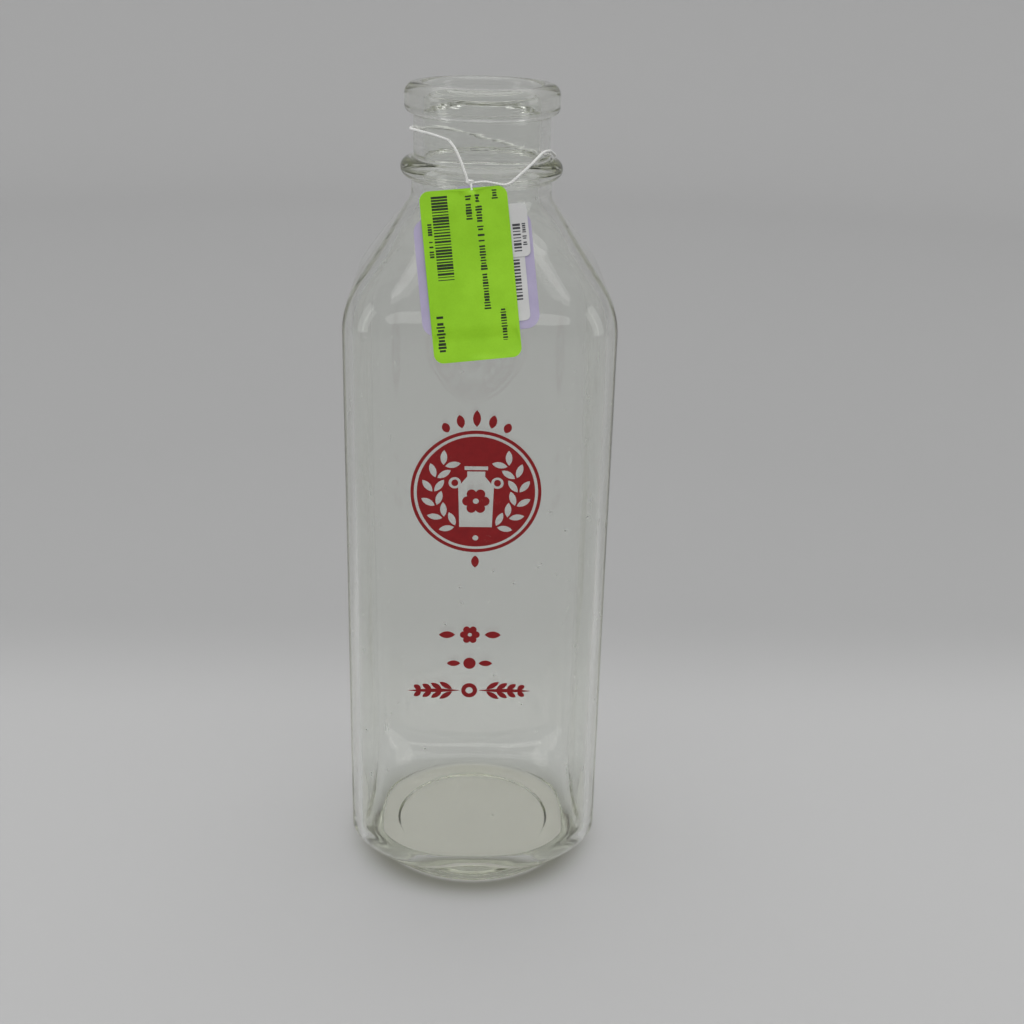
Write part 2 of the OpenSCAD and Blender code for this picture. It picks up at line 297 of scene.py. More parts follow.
@dataclass(frozen=True)
class SodaLimeGlass:
    """Soda-lime container glass, blown in an iron mould and fire-polished.

    It is clear, with a grey-green cast that only thick places show, a slow ripple from the mould
    and a faint haze from years of washing.
    """

    name: str = "soda_lime_glass"
    surface: str = "#FBFCFA"
    body: str = "#BFC49A"
    density_per_m: float = 8.5
    ior: float = 1.52
    ripple_mm: float = 16.0
    ripple_depth_mm: float = 0.12
    ring_mm: float = 1.6
    ring_stretch: float = 0.05
    ring_depth_mm: float = 0.04
    neck_mm: Point2 = (218.0, 232.0)
    chill_mm: float = 2.6
    chill_depth_mm: float = 0.05
    base_mm: Point2 = (12.0, 8.5)
    haze_mm: float = 42.0
    haze_cover: Point2 = (0.45, 0.75)
    polish: float = 0.012
    haze: float = 0.06
    ground: float = 0.5
    speck_mm: float = 11.0
    speck_size: Point2 = (0.025, 0.045)
    streak_mm: float = 2.2
    streak_stretch: float = 0.22
    streak_cover: Point2 = (0.62, 0.74)
    scuff_reach_mm: Point2 = (47.5, 50.0)

    def material(self) -> bpy.types.Material:
        """Build the glass.

        Returns:
            The material.
        """
        material, tree = new_material(self.name)
        place = add_node(tree, "ShaderNodeTexCoord").outputs["Object"]
        worn = add_node(
            tree,
            "ShaderNodeMath",
            settings={"operation": "MAXIMUM"},
            inputs={0: self.washed(tree, place), 1: self.scuffs(tree, place)},
        )
        shader = add_node(
            tree,
            "ShaderNodeBsdfPrincipled",
            inputs={
                "Base Color": linear(self.surface),
                "Roughness": worn.outputs[0],
                "IOR": self.ior,
                "Transmission Weight": 1.0,
                "Normal": self.relief(tree, place),
            },
        )
        volume = add_node(
            tree,
            "ShaderNodeVolumeAbsorption",
            inputs={"Color": linear(self.body), "Density": self.density_per_m},
        )
        finish_material(tree, shader, volume)
        return material

    def relief(self, tree: bpy.types.NodeTree, place: bpy.types.NodeSocket) -> bpy.types.NodeSocket:
        """Relief of the skin: the mould's slow ripple, rings on the neck and a pressed inner floor.

        Args:
            tree: the material's tree.
            place: the surface's own coordinates.

        Returns:
            The normal.
        """
        axes = add_node(tree, "ShaderNodeSeparateXYZ", inputs={0: place})
        flat = add_node(
            tree,
            "ShaderNodeMapping",
            inputs={"Vector": place, "Scale": (self.ring_stretch, self.ring_stretch, 1.0)},
        )
        ripple, rings, chill = (
            add_node(
                tree,
                "ShaderNodeTexNoise",
                inputs={
                    "Vector": vector, "Scale": 1 / (wave * MM), "Detail": detail, "Roughness": rough
                },
            )
            for vector, wave, detail, rough in (
                (place, self.ripple_mm, 2.0, 0.4),
                (flat.outputs[0], self.ring_mm, 2.0, 0.5),
                (place, self.chill_mm, 3.0, 0.6),
            )
        )
        bump = add_node(
            tree,
            "ShaderNodeBump",
            inputs={
                "Height": ripple.outputs[0],
                "Strength": 0.35,
                "Distance": self.ripple_depth_mm * MM,
            },
        )
        for texture, span_mm, depth_mm in (
            (rings, self.neck_mm, self.ring_depth_mm),
            (chill, self.base_mm, self.chill_depth_mm),
        ):
            zone = add_node(
                tree,
                "ShaderNodeMapRange",
                inputs={
                    "Value": axes.outputs["Z"],
                    "From Min": span_mm[0] * MM,
                    "From Max": span_mm[1] * MM,
                },
            )
            kept = add_node(
                tree,
                "ShaderNodeMath",
                settings={"operation": "MULTIPLY"},
                inputs={0: texture.outputs[0], 1: zone.outputs[0]},
            )
            bump = add_node(
                tree,
                "ShaderNodeBump",
                inputs={
                    "Height": kept.outputs[0],
                    "Strength": 1.0,
                    "Distance": depth_mm * MM,
                    "Normal": bump.outputs[0],
                },
            )
        return bump.outputs[0]

    def washed(self, tree: bpy.types.NodeTree, place: bpy.types.NodeSocket) -> bpy.types.NodeSocket:
        """Roughness of the polished glass, with the clouds of haze that washing leaves.

        Args:
            tree: the material's tree.
            place: the surface's own coordinates.

        Returns:
            How rough the glass is at each place.
        """
        cloud = add_node(
            tree,
            "ShaderNodeTexNoise",
            inputs={
                "Vector": place,
                "Scale": 1 / (self.haze_mm * MM),
                "Detail": 5.0,
                "Roughness": 0.6,
            },
        )
        return add_node(
            tree,
            "ShaderNodeMapRange",
            inputs={
                "Value": cloud.outputs[0],
                "From Min": self.haze_cover[0],
                "From Max": self.haze_cover[1],
                "To Min": self.polish,
                "To Max": self.haze,
            },
        ).outputs[0]

    def scuffs(self, tree: bpy.types.NodeTree, place: bpy.types.NodeSocket) -> bpy.types.NodeSocket:
        """Roughness of the ground spots: specks here and there, and rubbed streaks on the corners.

        Args:
            tree: the material's tree.
            place: the surface's own coordinates.

        Returns:
            The roughness, which is 0 where the glass isn't scuffed.
        """
        cells = add_node(
            tree,
            "ShaderNodeTexVoronoi",
            inputs={"Vector": place, "Scale": 1 / (self.speck_mm * MM)},
        )
        along = add_node(
            tree,
            "ShaderNodeMapping",
            inputs={"Vector": place, "Scale": (1.0, 1.0, self.streak_stretch)},
        )
        streaks = add_node(
            tree,
            "ShaderNodeTexNoise",
            inputs={
                "Vector": along.outputs[0],
                "Scale": 1 / (self.streak_mm * MM),
                "Detail": 4.0,
                "Roughness": 0.7,
            },
        )
        level = add_node(
            tree,
            "ShaderNodeVectorMath",
            settings={"operation": "MULTIPLY"},
            inputs={0: place, 1: (1.0, 1.0, 0.0)},
        )
        reach = add_node(
            tree,
            "ShaderNodeVectorMath",
            settings={"operation": "LENGTH"},
            inputs={0: level.outputs[0]},
        )
        near, far = self.scuff_reach_mm
        speck, rubbed, corner = (
            add_node(
                tree,
                "ShaderNodeMapRange",
                inputs={
                    "Value": value,
                    "From Min": start,
                    "From Max": end,
                    "To Min": low,
                    "To Max": high,
                },
            )
            for value, (start, end), low, high in (
                (cells.outputs["Distance"], self.speck_size, self.ground, 0.0),
                (streaks.outputs[0], self.streak_cover, 0.0, self.ground),
                (reach.outputs["Value"], (near * MM, far * MM), 0.0, 1.0),
            )
        )
        streak = add_node(
            tree,
            "ShaderNodeMath",
            settings={"operation": "MULTIPLY"},
            inputs={0: rubbed.outputs[0], 1: corner.outputs[0]},
        )
        return add_node(
            tree,
            "ShaderNodeMath",
            settings={"operation": "MAXIMUM"},
            inputs={0: speck.outputs[0], 1: streak.outputs[0]},
        ).outputs[0]


@dataclass(frozen=True)
class FiredEnamel:
    """Red ceramic enamel, screened on and fired: satin, opaque, slightly mottled, with pinholes."""

    name: str = "fired_red_enamel"
    deep: str = "#750F14"
    bright: str = "#9B1B1F"
    worn: str = "#A8706B"
    mottle_mm: float = 2.6
    pinhole_mm: float = 0.55
    pinhole_size: Point2 = (0.12, 0.2)
    patch_mm: float = 7.0
    patch_cover: Point2 = (0.6, 0.68)
    patch_wear: float = 0.8

    def material(self) -> bpy.types.Material:
        """Build the enamel.

        Returns:
            The material.
        """
        material, tree = new_material(self.name)
        place = add_node(tree, "ShaderNodeTexCoord").outputs["Object"]
        mottle, patch = (
            add_node(
                tree,
                "ShaderNodeTexNoise",
                inputs={
                    "Vector": place, "Scale": 1 / (wave * MM), "Detail": detail, "Roughness": rough
                },
            )
            for wave, detail, rough in ((self.mottle_mm, 6.0, 0.65), (self.patch_mm, 3.0, 0.5))
        )
        ink = add_node(
            tree,
            "ShaderNodeMix",
            settings={"data_type": "RGBA"},
            inputs={0: mottle.outputs[0], 6: linear(self.deep), 7: linear(self.bright)},
        )
        holes = add_node(
            tree,
            "ShaderNodeTexVoronoi",
            inputs={"Vector": place, "Scale": 1 / (self.pinhole_mm * MM)},
        )
        small, rare = (
            add_node(
                tree,
                "ShaderNodeMapRange",
                inputs={
                    "Value": value,
                    "From Min": start,
                    "From Max": end,
                    "To Min": low,
                    "To Max": high,
                },
            )
            for value, (start, end), low, high in (
                (holes.outputs["Distance"], self.pinhole_size, 1.0, 0.0),
                (patch.outputs[0], self.patch_cover, 0.0, self.patch_wear),
            )
        )
        wear = add_node(
            tree,
            "ShaderNodeMath",
            settings={"operation": "MULTIPLY"},
            inputs={0: small.outputs[0], 1: rare.outputs[0]},
        )
        colour = add_node(
            tree,
            "ShaderNodeMix",
            settings={"data_type": "RGBA"},
            inputs={0: wear.outputs[0], 6: ink.outputs[2], 7: linear(self.worn)},
        )
        bump = add_node(
            tree,
            "ShaderNodeBump",
            inputs={"Height": mottle.outputs[0], "Strength": 0.25, "Distance": 0.05 * MM},
        )
        shader = add_node(
            tree,
            "ShaderNodeBsdfPrincipled",
            inputs={
                "Base Color": colour.outputs[2],
                "Roughness": 0.42,
                "IOR": 1.5,
                "Specular IOR Level": 0.3,
                "Normal": bump.outputs[0],
            },
        )
        finish_material(tree, shader)
        return material


@dataclass(frozen=True)
class CottonThread:
    """White three-ply cotton thread: soft, matt, with a little fluff on its plies.

    Real fibres are about a tenth of fibre_mm. They are drawn this coarse so that they show.
    """

    name: str = "white_cotton_thread"
    light: str = "#F1F1EF"
    shade: str = "#D9D9D6"
    fibre_mm: float = 0.12

    def material(self) -> bpy.types.Material:
        """Build the thread.

        Returns:
            The material.
        """
        material, tree = new_material(self.name)
        place = add_node(tree, "ShaderNodeTexCoord").outputs["Object"]
        fibre = add_node(
            tree,
            "ShaderNodeTexNoise",
            inputs={"Vector": place, "Scale": 1 / (self.fibre_mm * MM), "Detail": 2.0},
        )
        colour = add_node(
            tree,
            "ShaderNodeMix",
            settings={"data_type": "RGBA"},
            inputs={0: fibre.outputs[0], 6: linear(self.shade), 7: linear(self.light)},
        )
        bump = add_node(
            tree,
            "ShaderNodeBump",
            inputs={"Height": fibre.outputs[0], "Strength": 0.5, "Distance": 0.04 * MM},
        )
        shader = add_node(
            tree,
            "ShaderNodeBsdfPrincipled",
            inputs={
                "Base Color": colour.outputs[2],
                "Roughness": 0.9,
                "Sheen Weight": 0.3,
                "Sheen Roughness": 0.5,
                "Normal": bump.outputs[0],
            },
        )
        finish_material(tree, shader)
        return material


@dataclass(frozen=True)
class PaperStock:
    """Paper or card, coated and calendered: matt to satin, with a fibre that dulls its gloss.

    Real fibres are a tenth of fibre_mm. They are drawn this coarse so that they show.
    """

    name: str
    light: str
    shade: str
    roughness: float
    fibre_mm: float = 0.35
    cloud_mm: float = 9.0

    def material(self) -> bpy.types.Material:
        """Build the paper.

        Returns:
            The material.
        """
        material, tree = new_material(self.name)
        place = add_node(tree, "ShaderNodeTexCoord").outputs["Object"]
        fibre, cloud = (
            add_node(
                tree,
                "ShaderNodeTexNoise",
                inputs={
                    "Vector": place, "Scale": 1 / (wave * MM), "Detail": detail, "Roughness": rough
                },
            )
            for wave, detail, rough in ((self.fibre_mm, 4.0, 0.7), (self.cloud_mm, 3.0, 0.5))
        )
        both = add_node(
            tree,
            "ShaderNodeMath",
            settings={"operation": "MULTIPLY_ADD"},
            inputs={0: fibre.outputs[0], 1: 0.5, 2: cloud.outputs[0]},
        )
        share = add_node(
            tree,
            "ShaderNodeMapRange",
            inputs={"Value": both.outputs[0], "From Min": 0.55, "From Max": 0.95},
        )
        colour = add_node(
            tree,
            "ShaderNodeMix",
            settings={"data_type": "RGBA"},
            inputs={0: share.outputs[0], 6: linear(self.shade), 7: linear(self.light)},
        )
        bump = add_node(
            tree,
            "ShaderNodeBump",
            inputs={"Height": fibre.outputs[0], "Strength": 0.3, "Distance": 0.02 * MM},
        )
        shader = add_node(
            tree,
            "ShaderNodeBsdfPrincipled",
            inputs={
                "Base Color": colour.outputs[2],
                "Roughness": self.roughness,
                "Specular IOR Level": 0.3,
                "Normal": bump.outputs[0],
            },
        )
        finish_material(tree, shader)
        return material


@dataclass(frozen=True)
class ThermalInk:
    """Thermal printing: flat near-black marks that lie in the paper's own coating.

    The print head's dots are half of dot_mm. They are drawn this coarse so that they show.
    """

    name: str
    full: str
    thin: str
    dot_mm: float = 0.25

    def material(self) -> bpy.types.Material:
        """Build the ink.

        Returns:
            The material.
        """
        material, tree = new_material(self.name)
        place = add_node(tree, "ShaderNodeTexCoord").outputs["Object"]
        dots = add_node(
            tree,
            "ShaderNodeTexNoise",
            inputs={"Vector": place, "Scale": 1 / (self.dot_mm * MM), "Detail": 2.0},
        )
        colour = add_node(
            tree,
            "ShaderNodeMix",
            settings={"data_type": "RGBA"},
            inputs={0: dots.outputs[0], 6: linear(self.full), 7: linear(self.thin)},
        )
        shader = add_node(
            tree,
            "ShaderNodeBsdfPrincipled",
            inputs={"Base Color": colour.outputs[2], "Roughness": 0.5},
        )
        finish_material(tree, shader)
        return material


# ------------------------------------------------------------------------------ glass bottle


@dataclass
class GlassBottle:
    """The glass, as one closed skin from the underside, over the rim and down to the inner floor.

    The fields are the moulded sizes in millimetres, then how far and where the blown glass strays
    from the mould, then the rings and directions that draw each stretch. A bend stops short of
    the slope by the degrees given, so that its last ring doesn't crowd the slope's first.
    """

    height: float = 262.5
    half_width: float = 41.4
    corner_r: float = 15.5
    wall: float = 3.2
    foot_r: float = 35.5
    foot_edge_r: float = 1.8
    foot_tuck: float = 0.2
    recess_r: float = 27.5
    recess_h: float = 0.6
    recess_edge: float = 1.4
    heel_h: float = 12.0
    corner_heel_h: float = 22.0
    heel_fullness: float = 1.7
    floor_t: float = 8.0
    floor_half: float = 31.5
    floor_corner: float = 22.0
    inner_heel_h: float = 9.0
    inner_corner_heel_h: float = 15.0
    floor_dip: float = 0.6
    shoulder_r: float = 24.4
    slope_deg: float = 35.0
    throat_bend_r: float = 6.0
    rounding_h: float = 10.0
    rim_r: float = 23.5
    rim_h: float = 8.8
    rim_top_r: float = 3.2
    rim_low_r: float = 2.0
    mouth_edge_r: float = 1.8
    neck_r: float = 20.8
    neck_h: float = 16.1
    bead_r: float = 24.85
    bead_h: float = 5.8
    throat_r: float = 21.6
    throat_h: float = 6.95
    bore_r: float = 17.7
    fillet: float = 0.7
    fillet_middle: Point2 = (0.15, 0.35)
    bead_blend: float = 0.6
    panel_dish: float = 0.6
    outer_ripple: float = 0.05
    outer_wave: float = 34.0
    outer_seed: float = 40.0
    inner_ripple: float = 0.22
    inner_wave: float = 26.0
    inner_seed: float = 900.0
    wave_rise: float = 0.55
    still_foot: Point2 = (3.0, 15.0)
    still_neck: float = 20.0
    still_floor: float = 5.0
    recess_rings: tuple[float, ...] = (4.0, 9.0, 14.0, 19.0, 23.0)
    foot_rings: tuple[float, ...] = (29.5, 31.5, 32.6)
    floor_shares: tuple[float, ...] = (0.93, 0.82, 0.68, 0.5, 0.3, 0.12)
    flat_steps: int = 12
    corner_steps: int = 28
    recess_steps: int = 8
    heel_steps: int = 26
    heel_spread: float = 1.5
    wall_steps: int = 44
    bend_steps: int = 16
    slope_steps: int = 26
    bead_steps: int = 26
    neck_steps: int = 10
    round_steps: int = 9
    outer_bend_short: float = 4.0
    inner_bend_short: float = 3.0
    bore_steps: int = 22
    inner_wall_steps: int = 41
    steady_h: float = 1.0
    inner_overrun: float = 3.0
    floor_steps: int = 30
    angles: np.ndarray = field(init=False)

    def __post_init__(self) -> None:
        """Set out the directions of a ring, closer together at the corners."""
        bend = math.degrees(math.atan2(self.half_width - self.corner_r, self.half_width))
        quarter = np.concatenate(
            [
                np.linspace(0, bend, self.flat_steps, endpoint=False),
                np.linspace(bend, 90 - bend, self.corner_steps, endpoint=False),
                np.linspace(90 - bend, 90, self.flat_steps, endpoint=False),
            ]
        )
        self.angles = np.radians(np.concatenate([quarter + 90 * i for i in range(4)]))

    @property
    def rim_z(self) -> float:
        """Height of the rim band's underside."""
        return self.height - self.rim_h

    @property
    def bead_z(self) -> float:
        """Height of the bead's middle."""
        return self.rim_z - self.neck_h

    @property
    def bead_ring_r(self) -> float:
        """Radius of the circle on which the bead's round section is centred."""
        return self.bead_r - self.bead_h / 2

    @property
    def throat_z(self) -> float:
        """Height at which the throat starts to bend into the shoulder."""
        return self.bead_z - self.throat_h

    @property
    def slope_top(self) -> Point2:
        """Half width and height at the top of the shoulder's slope.

        Returns:
            Its radius and height.
        """
        slope = math.radians(self.slope_deg)
        return (
            self.throat_r + self.throat_bend_r * (1 - math.cos(slope)),
            self.throat_z - self.throat_bend_r * math.sin(slope),
        )

    @property
    def shoulder_centre(self) -> Point2:
        """Centre of the bend from a panel into the shoulder.

        Returns:
            Its radius and height.
        """
        slope = math.radians(self.slope_deg)
        x = self.half_width - self.shoulder_r
        top_w, top_z = self.slope_top
        low_w = x + self.shoulder_r * math.cos(slope)
        low_z = top_z - (low_w - top_w) / math.tan(slope)
        return x, low_z - self.shoulder_r * math.sin(slope)

    def square_reach(self, half: float, corner: float) -> np.ndarray:
        """Distance from the axis to a rounded square, in each direction of a ring.

        Args:
            half: half the width across the flats.
            corner: the corners' radius.

        Returns:
            The distance from the axis at each step round.
        """
        turn = np.abs((np.degrees(self.angles) + 45) % 90 - 45)
        b = np.radians(turn)
        c = half - corner
        along = c * (np.cos(b) + np.sin(b))
        bent = along + np.sqrt(np.maximum(along**2 - 2 * c * c + corner**2, 0))
        return np.where(np.tan(b) * half <= c, half / np.cos(b), bent)

    @property
    def square(self) -> np.ndarray:
        """Reach of the body's own square section, in each direction of a ring."""
        return self.square_reach(self.half_width, self.corner_r)

    def corner_share(self, reach: np.ndarray, half: float) -> np.ndarray:
        """How near each direction of a square ring is to a corner, from 0 on a panel to 1."""
        return (reach - half) / (reach.max() - half)

    def dish(self, z: float | np.ndarray) -> float | np.ndarray:
        """How far the middle of a panel is sucked in at a height, as blown panels are."""
        low, high = self.corner_heel_h, self.shoulder_centre[1]
        return self.panel_dish * np.sin(np.pi * np.clip((z - low) / (high - low), 0, 1)) ** 2

    def panel_sag(self, z: float | np.ndarray) -> np.ndarray:
        """How far each direction of a ring is sucked in at that height."""
        return self.dish(z) * np.cos(2 * self.angles) ** 2

    def sag_at(self, x: float, z: float) -> float:
        """How far the decorated panel lies in from its flat plane at a place on it."""
        side = math.atan2(x, self.half_width)
        return float(self.dish(z)) * math.cos(2 * side) ** 2 * math.cos(side)

    def circle(self, r: float, z: float) -> Ring:
        """A round ring."""
        return np.full(len(self.angles), r), z

    def heel(self) -> list[Ring]:
        """Rings of the outside's heel, which grow from the round foot to the full square.

        Returns:
            The rings.
        """
        full = self.square
        share = self.corner_share(full, self.half_width)
        start = self.foot_edge_r
        tops = self.heel_h + (self.corner_heel_h - self.heel_h) * share
        rings = []
        for i in range(self.heel_steps + 1):
            z = start + (self.corner_heel_h - start) * (i / self.heel_steps) ** self.heel_spread
            t = np.minimum(1, (z - start) / (tops - start))
            reach = self.foot_r + (full - self.foot_r) * (1 - (1 - t) ** self.heel_fullness)
            rings.append((reach, z))
        return rings

    def shoulder(self) -> list[Ring]:
        """Rings of the shoulder: the bend, then the slope, whose corners open out till round.

        Returns:
            The rings.
        """
        cx, cz = self.shoulder_centre
        top_w, top_z = self.slope_top
        bend = arc(cx, cz, self.shoulder_r, 0, self.slope_deg, self.bend_steps)
        rings = [(self.square_reach(w, self.corner_r), z) for w, z in bend[:-1]]
        low_w, low_z = bend[-1]
        for i in range(self.slope_steps + 1):
            w = low_w + (top_w - low_w) * i / self.slope_steps
            z = low_z + (top_z - low_z) * i / self.slope_steps
            t = ease(1 - (top_z - z) / self.rounding_h)
            rings.append((self.square_reach(w, self.corner_r + (w - self.corner_r) * t), z))
        return rings

    def outer_rings(self) -> list[Ring]:
        """Rings of the outside, from the recess under the foot up to the rim's inner edge.

        Returns:
            The rings.
        """
        recess = (*self.recess_rings, self.recess_r - self.recess_edge)
        rings = [self.circle(r, self.recess_h) for r in recess]
        for i in range(1, self.recess_steps):
            share = i / self.recess_steps
            r = self.recess_r - self.recess_edge * (1 - share)
            rings.append(self.circle(r, self.recess_h * (1 - ease(share))))
        rings += [self.circle(r, 0.0) for r in (self.recess_r, *self.foot_rings)]
        edge_r = self.foot_edge_r
        edge = arc(self.foot_r - self.foot_tuck - edge_r, edge_r, edge_r, -90, -12, 8)
        rings += [self.circle(r, z) for r, z in edge]
        rings += self.heel()
        low, high = self.corner_heel_h, self.shoulder_centre[1]
        square = self.square
        for i in range(1, self.wall_steps):
            z = low + (high - low) * i / self.wall_steps
            rings.append((square - self.panel_sag(z), z))
        rings += self.shoulder()
        rings += [self.circle(r, z) for r, z in self.neck_profile()]
        return rings

    def neck_profile(self) -> list[Point2]:
        """The outside's profile from the shoulder's top to the mouth, as radius and height.

        Returns:
            Radius and height of each point.
        """
        f = self.fillet
        ball = self.bead_h / 2
        low, high = (
            math.degrees(math.acos((r + f * self.bead_blend - self.bead_ring_r) / ball))
            for r in (self.throat_r, self.neck_r)
        )
        bead = arc(self.bead_ring_r, self.bead_z, ball, -low, high, self.bead_steps)
        bead_low, bead_high = bead[0][1], bead[-1][1]
        bend, low_r, top_r, mouth_r = (
            self.throat_bend_r, self.rim_low_r, self.rim_top_r, self.mouth_edge_r
        )
        neck_low, neck_high = bead_high + f, self.rim_z - f
        out, off = (share * f for share in self.fillet_middle)
        steps, count = self.round_steps, self.neck_steps
        return [
            *arc(
                self.throat_r + bend, self.throat_z, bend,
                180 + self.slope_deg - self.outer_bend_short, 180, steps,
            ),
            (self.throat_r, (self.throat_z + bead_low - f) / 2),
            (self.throat_r, bead_low - f),
            (self.throat_r + out, bead_low - off),
            *bead,
            (self.neck_r + out, bead_high + off),
            *(
                (self.neck_r, neck_low + (neck_high - neck_low) * i / count)
                for i in range(count + 1)
            ),
            *arc(self.neck_r + f, self.rim_z - f, f, 180, 90, 4)[1:],
            *arc(self.rim_r - low_r, self.rim_z + low_r, low_r, -90, 0, steps)[1:],
            *arc(self.rim_r - top_r, self.height - top_r, top_r, 0, 90, 14),
            *arc(self.bore_r + mouth_r, self.height - mouth_r, mouth_r, 90, 180, steps),
        ]

    def bore_rings(self) -> list[Ring]:
        """Rings of the bore, from the mouth down to where the throat starts to open.

        Returns:
            The rings.
        """
        start = self.height - self.mouth_edge_r
        fall = self.throat_z - start
        return [
            self.circle(self.bore_r, start + fall * i / self.bore_steps)
            for i in range(1, self.bore_steps)
        ]

    def inner_heel_tops(self, reach: np.ndarray, half: float) -> np.ndarray:
        """Height of the inner heel above the floor, in each direction of a square ring."""
        rise = self.inner_corner_heel_h - self.inner_heel_h
        return self.inner_heel_h + rise * self.corner_share(reach, half)

    def floor_rings(self) -> list[Ring]:
        """Rings of the inner heel and floor, from the walls down to the middle.

        Returns:
            The rings.
        """
        half = self.half_width - self.wall
        full = self.square_reach(half, self.corner_r - self.wall)
        tops = self.inner_heel_tops(full, half)
        floor = self.square_reach(self.floor_half, self.floor_corner)
        rings = []
        for i in range(self.floor_steps, -1, -1):
            turn = math.radians(90 * i / self.floor_steps)
            reach = floor + (full - floor) * math.sin(turn)
            rings.append((reach, self.floor_t + tops * (1 - math.cos(turn))))
        for share in self.floor_shares:
            rings.append((floor * share, self.floor_t - self.floor_dip * (1 - share**2)))
        return rings

    def points(self, ring: Ring) -> np.ndarray:
        """The points of a ring, which lies level or has a height in each direction.

        Args:
            ring: how far it reaches and how high it lies, at each step round.

        Returns:
            One point for each step.
        """
        radii, z = ring
        heights = np.broadcast_to(z, radii.shape)
        return np.column_stack([radii * np.cos(self.angles), radii * np.sin(self.angles), heights])

    def inner_wall(self) -> list[np.ndarray]:
        """The walls' inner skin, highest row first: the outer one, set in by the wall's thickness.

        The first and the last row only steady the direction of their neighbours.

        Returns:
            The rows of points.
        """
        bend = self.throat_bend_r
        turned = 180 + self.slope_deg - self.inner_bend_short
        throat = arc(self.throat_r + bend, self.throat_z, bend, 180, turned, self.round_steps)
        rings = [self.circle(self.throat_r, self.throat_z + self.steady_h)]
        rings += [self.circle(r, z) for r, z in throat]
        rings += reversed(self.shoulder())
        square = self.square
        high = self.shoulder_centre[1]
        low = self.floor_t + self.inner_heel_tops(square, self.half_width) - self.inner_overrun
        for i in range(1, self.inner_wall_steps + 1):
            z = high + (low - high) * i / self.inner_wall_steps
            rings.append((square - self.panel_sag(z), z))
        skin = np.array([self.points(ring) for ring in rings])
        along = np.roll(skin, -1, axis=1) - np.roll(skin, 1, axis=1)
        outward = np.cross(np.gradient(skin, axis=0), along)
        outward /= np.linalg.norm(outward, axis=2, keepdims=True)
        neck_wall = self.throat_r - self.bore_r
        set_in = []
        for row, normals in zip(skin[1:-1], outward[1:-1]):
            share = ease((row[0, 2] - high) / (self.throat_z - high))
            set_in.append(row - normals * (self.wall + (neck_wall - self.wall) * share))
        return set_in

    def ripple(self, row: np.ndarray, size: float, seed: float, wave: float) -> np.ndarray:
        """Move a row's points in and out by a slow, uneven amount, as blown glass has.

        Args:
            row: the row's points.
            size: the most that a point moves.
            seed: where in the endless pattern this skin lies.
            wave: the length of a wave.

        Returns:
            The moved points.
        """
        moved = row.copy()
        for point in moved:
            place = Vector((point[0], point[1], self.wave_rise * point[2] + seed)) / wave
            reach = math.hypot(point[0], point[1])
            point[:2] *= 1 + size * noise.noise(place, noise_basis="PERLIN_ORIGINAL") / reach
        return moved

    def rows(self) -> list[np.ndarray]:
        """All the rows of the skin, from the underside over the rim and down to the inner floor.

        The ripple dies out towards the foot, the neck and the inner floor, which a mould or a
        plunger shaped.

        Returns:
            The rows of points.
        """
        rows = []
        start, full = self.still_foot
        for ring in self.outer_rings():
            size = self.outer_ripple * ease((ring[1] - start) / (full - start))
            rows.append(self.ripple(self.points(ring), size, self.outer_seed, self.outer_wave))
        rows += [self.points(ring) for ring in self.bore_rings()]
        inner = [*self.inner_wall(), *(self.points(ring) for ring in self.floor_rings())]
        for row in inner:
            below_neck = ease((self.throat_z - row[0, 2]) / self.still_neck)
            above_floor = ease((row[0, 2] - self.floor_t) / self.still_floor)
            size = self.inner_ripple * below_neck * above_floor
            rows.append(self.ripple(row, size, self.inner_seed, self.inner_wave))
        return rows

    def build(self) -> None:
        """Make the glass as one closed mesh and let it stand for the bottle's solid."""
        count = len(self.angles)
        rows = self.rows()
        under, inside = self.recess_h, self.floor_t - self.floor_dip
        points = np.vstack([[[0.0, 0.0, under]], *rows, [[0.0, 0.0, inside]]])
        faces = [[0, 1 + (i + 1) % count, 1 + i] for i in range(count)]
        for k in range(len(rows) - 1):
            a, b = 1 + k * count, 1 + (k + 1) * count
            faces += [
                [a + i, a + (i + 1) % count, b + (i + 1) % count, b + i] for i in range(count)
            ]
        last, pole = 1 + (len(rows) - 1) * count, len(points) - 1
        faces += [[last + i, last + (i + 1) % count, pole] for i in range(count)]
        glass = mesh_object("bottle_glass", points, faces)
        dress(glass, SodaLimeGlass().material())
        glass.visible_shadow = False
        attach(glass, "bottle")
        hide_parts("bottle")
        report(glass)


# ----------------------------------------------------------------------------- fired enamel


@dataclass
class EnamelPrint:
    """The fired prints on the front panel, laid on the glass as it really curves.

    A print's back is bedded a little in the glass. back_reach tells its back from its front.
    """

    bottle: GlassBottle
    nodes: tuple[str, ...] = ("enamel_emblem", "enamel_ornament")
    bedding: float = 0.05
    back_reach: float = 0.01
    weld: float = 0.002

    def build(self, frame: dict[str, Any]) -> None:
        """Copy each print's solid, press it onto the glass and dress it.

        Args:
            frame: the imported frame.
        """
        material = FiredEnamel().material()
        for node in self.nodes:
            mesh = frame["nodes"][node].data.copy()
            form = bmesh.new()
            form.from_mesh(mesh)
            bmesh.ops.remove_doubles(form, verts=form.verts, dist=self.weld * MM)
            back = -(self.bottle.half_width + self.back_reach) * MM
            for vert in form.verts:
                x, _, z = vert.co / MM
                inward = self.bottle.sag_at(x, z)
                if vert.co.y > back:
                    inward += self.bedding
                vert.co.y += inward * MM
            form.to_mesh(mesh)
            form.free()
            mesh.polygons.foreach_set("use_smooth", [False] * len(mesh.polygons))
            piece = link_mesh(f"{node}_fired", mesh)
            dress(piece, material)
            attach(piece, "bottle")
            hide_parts(node)
            report(piece)


# ----------------------------------------------------------------------------------- thread


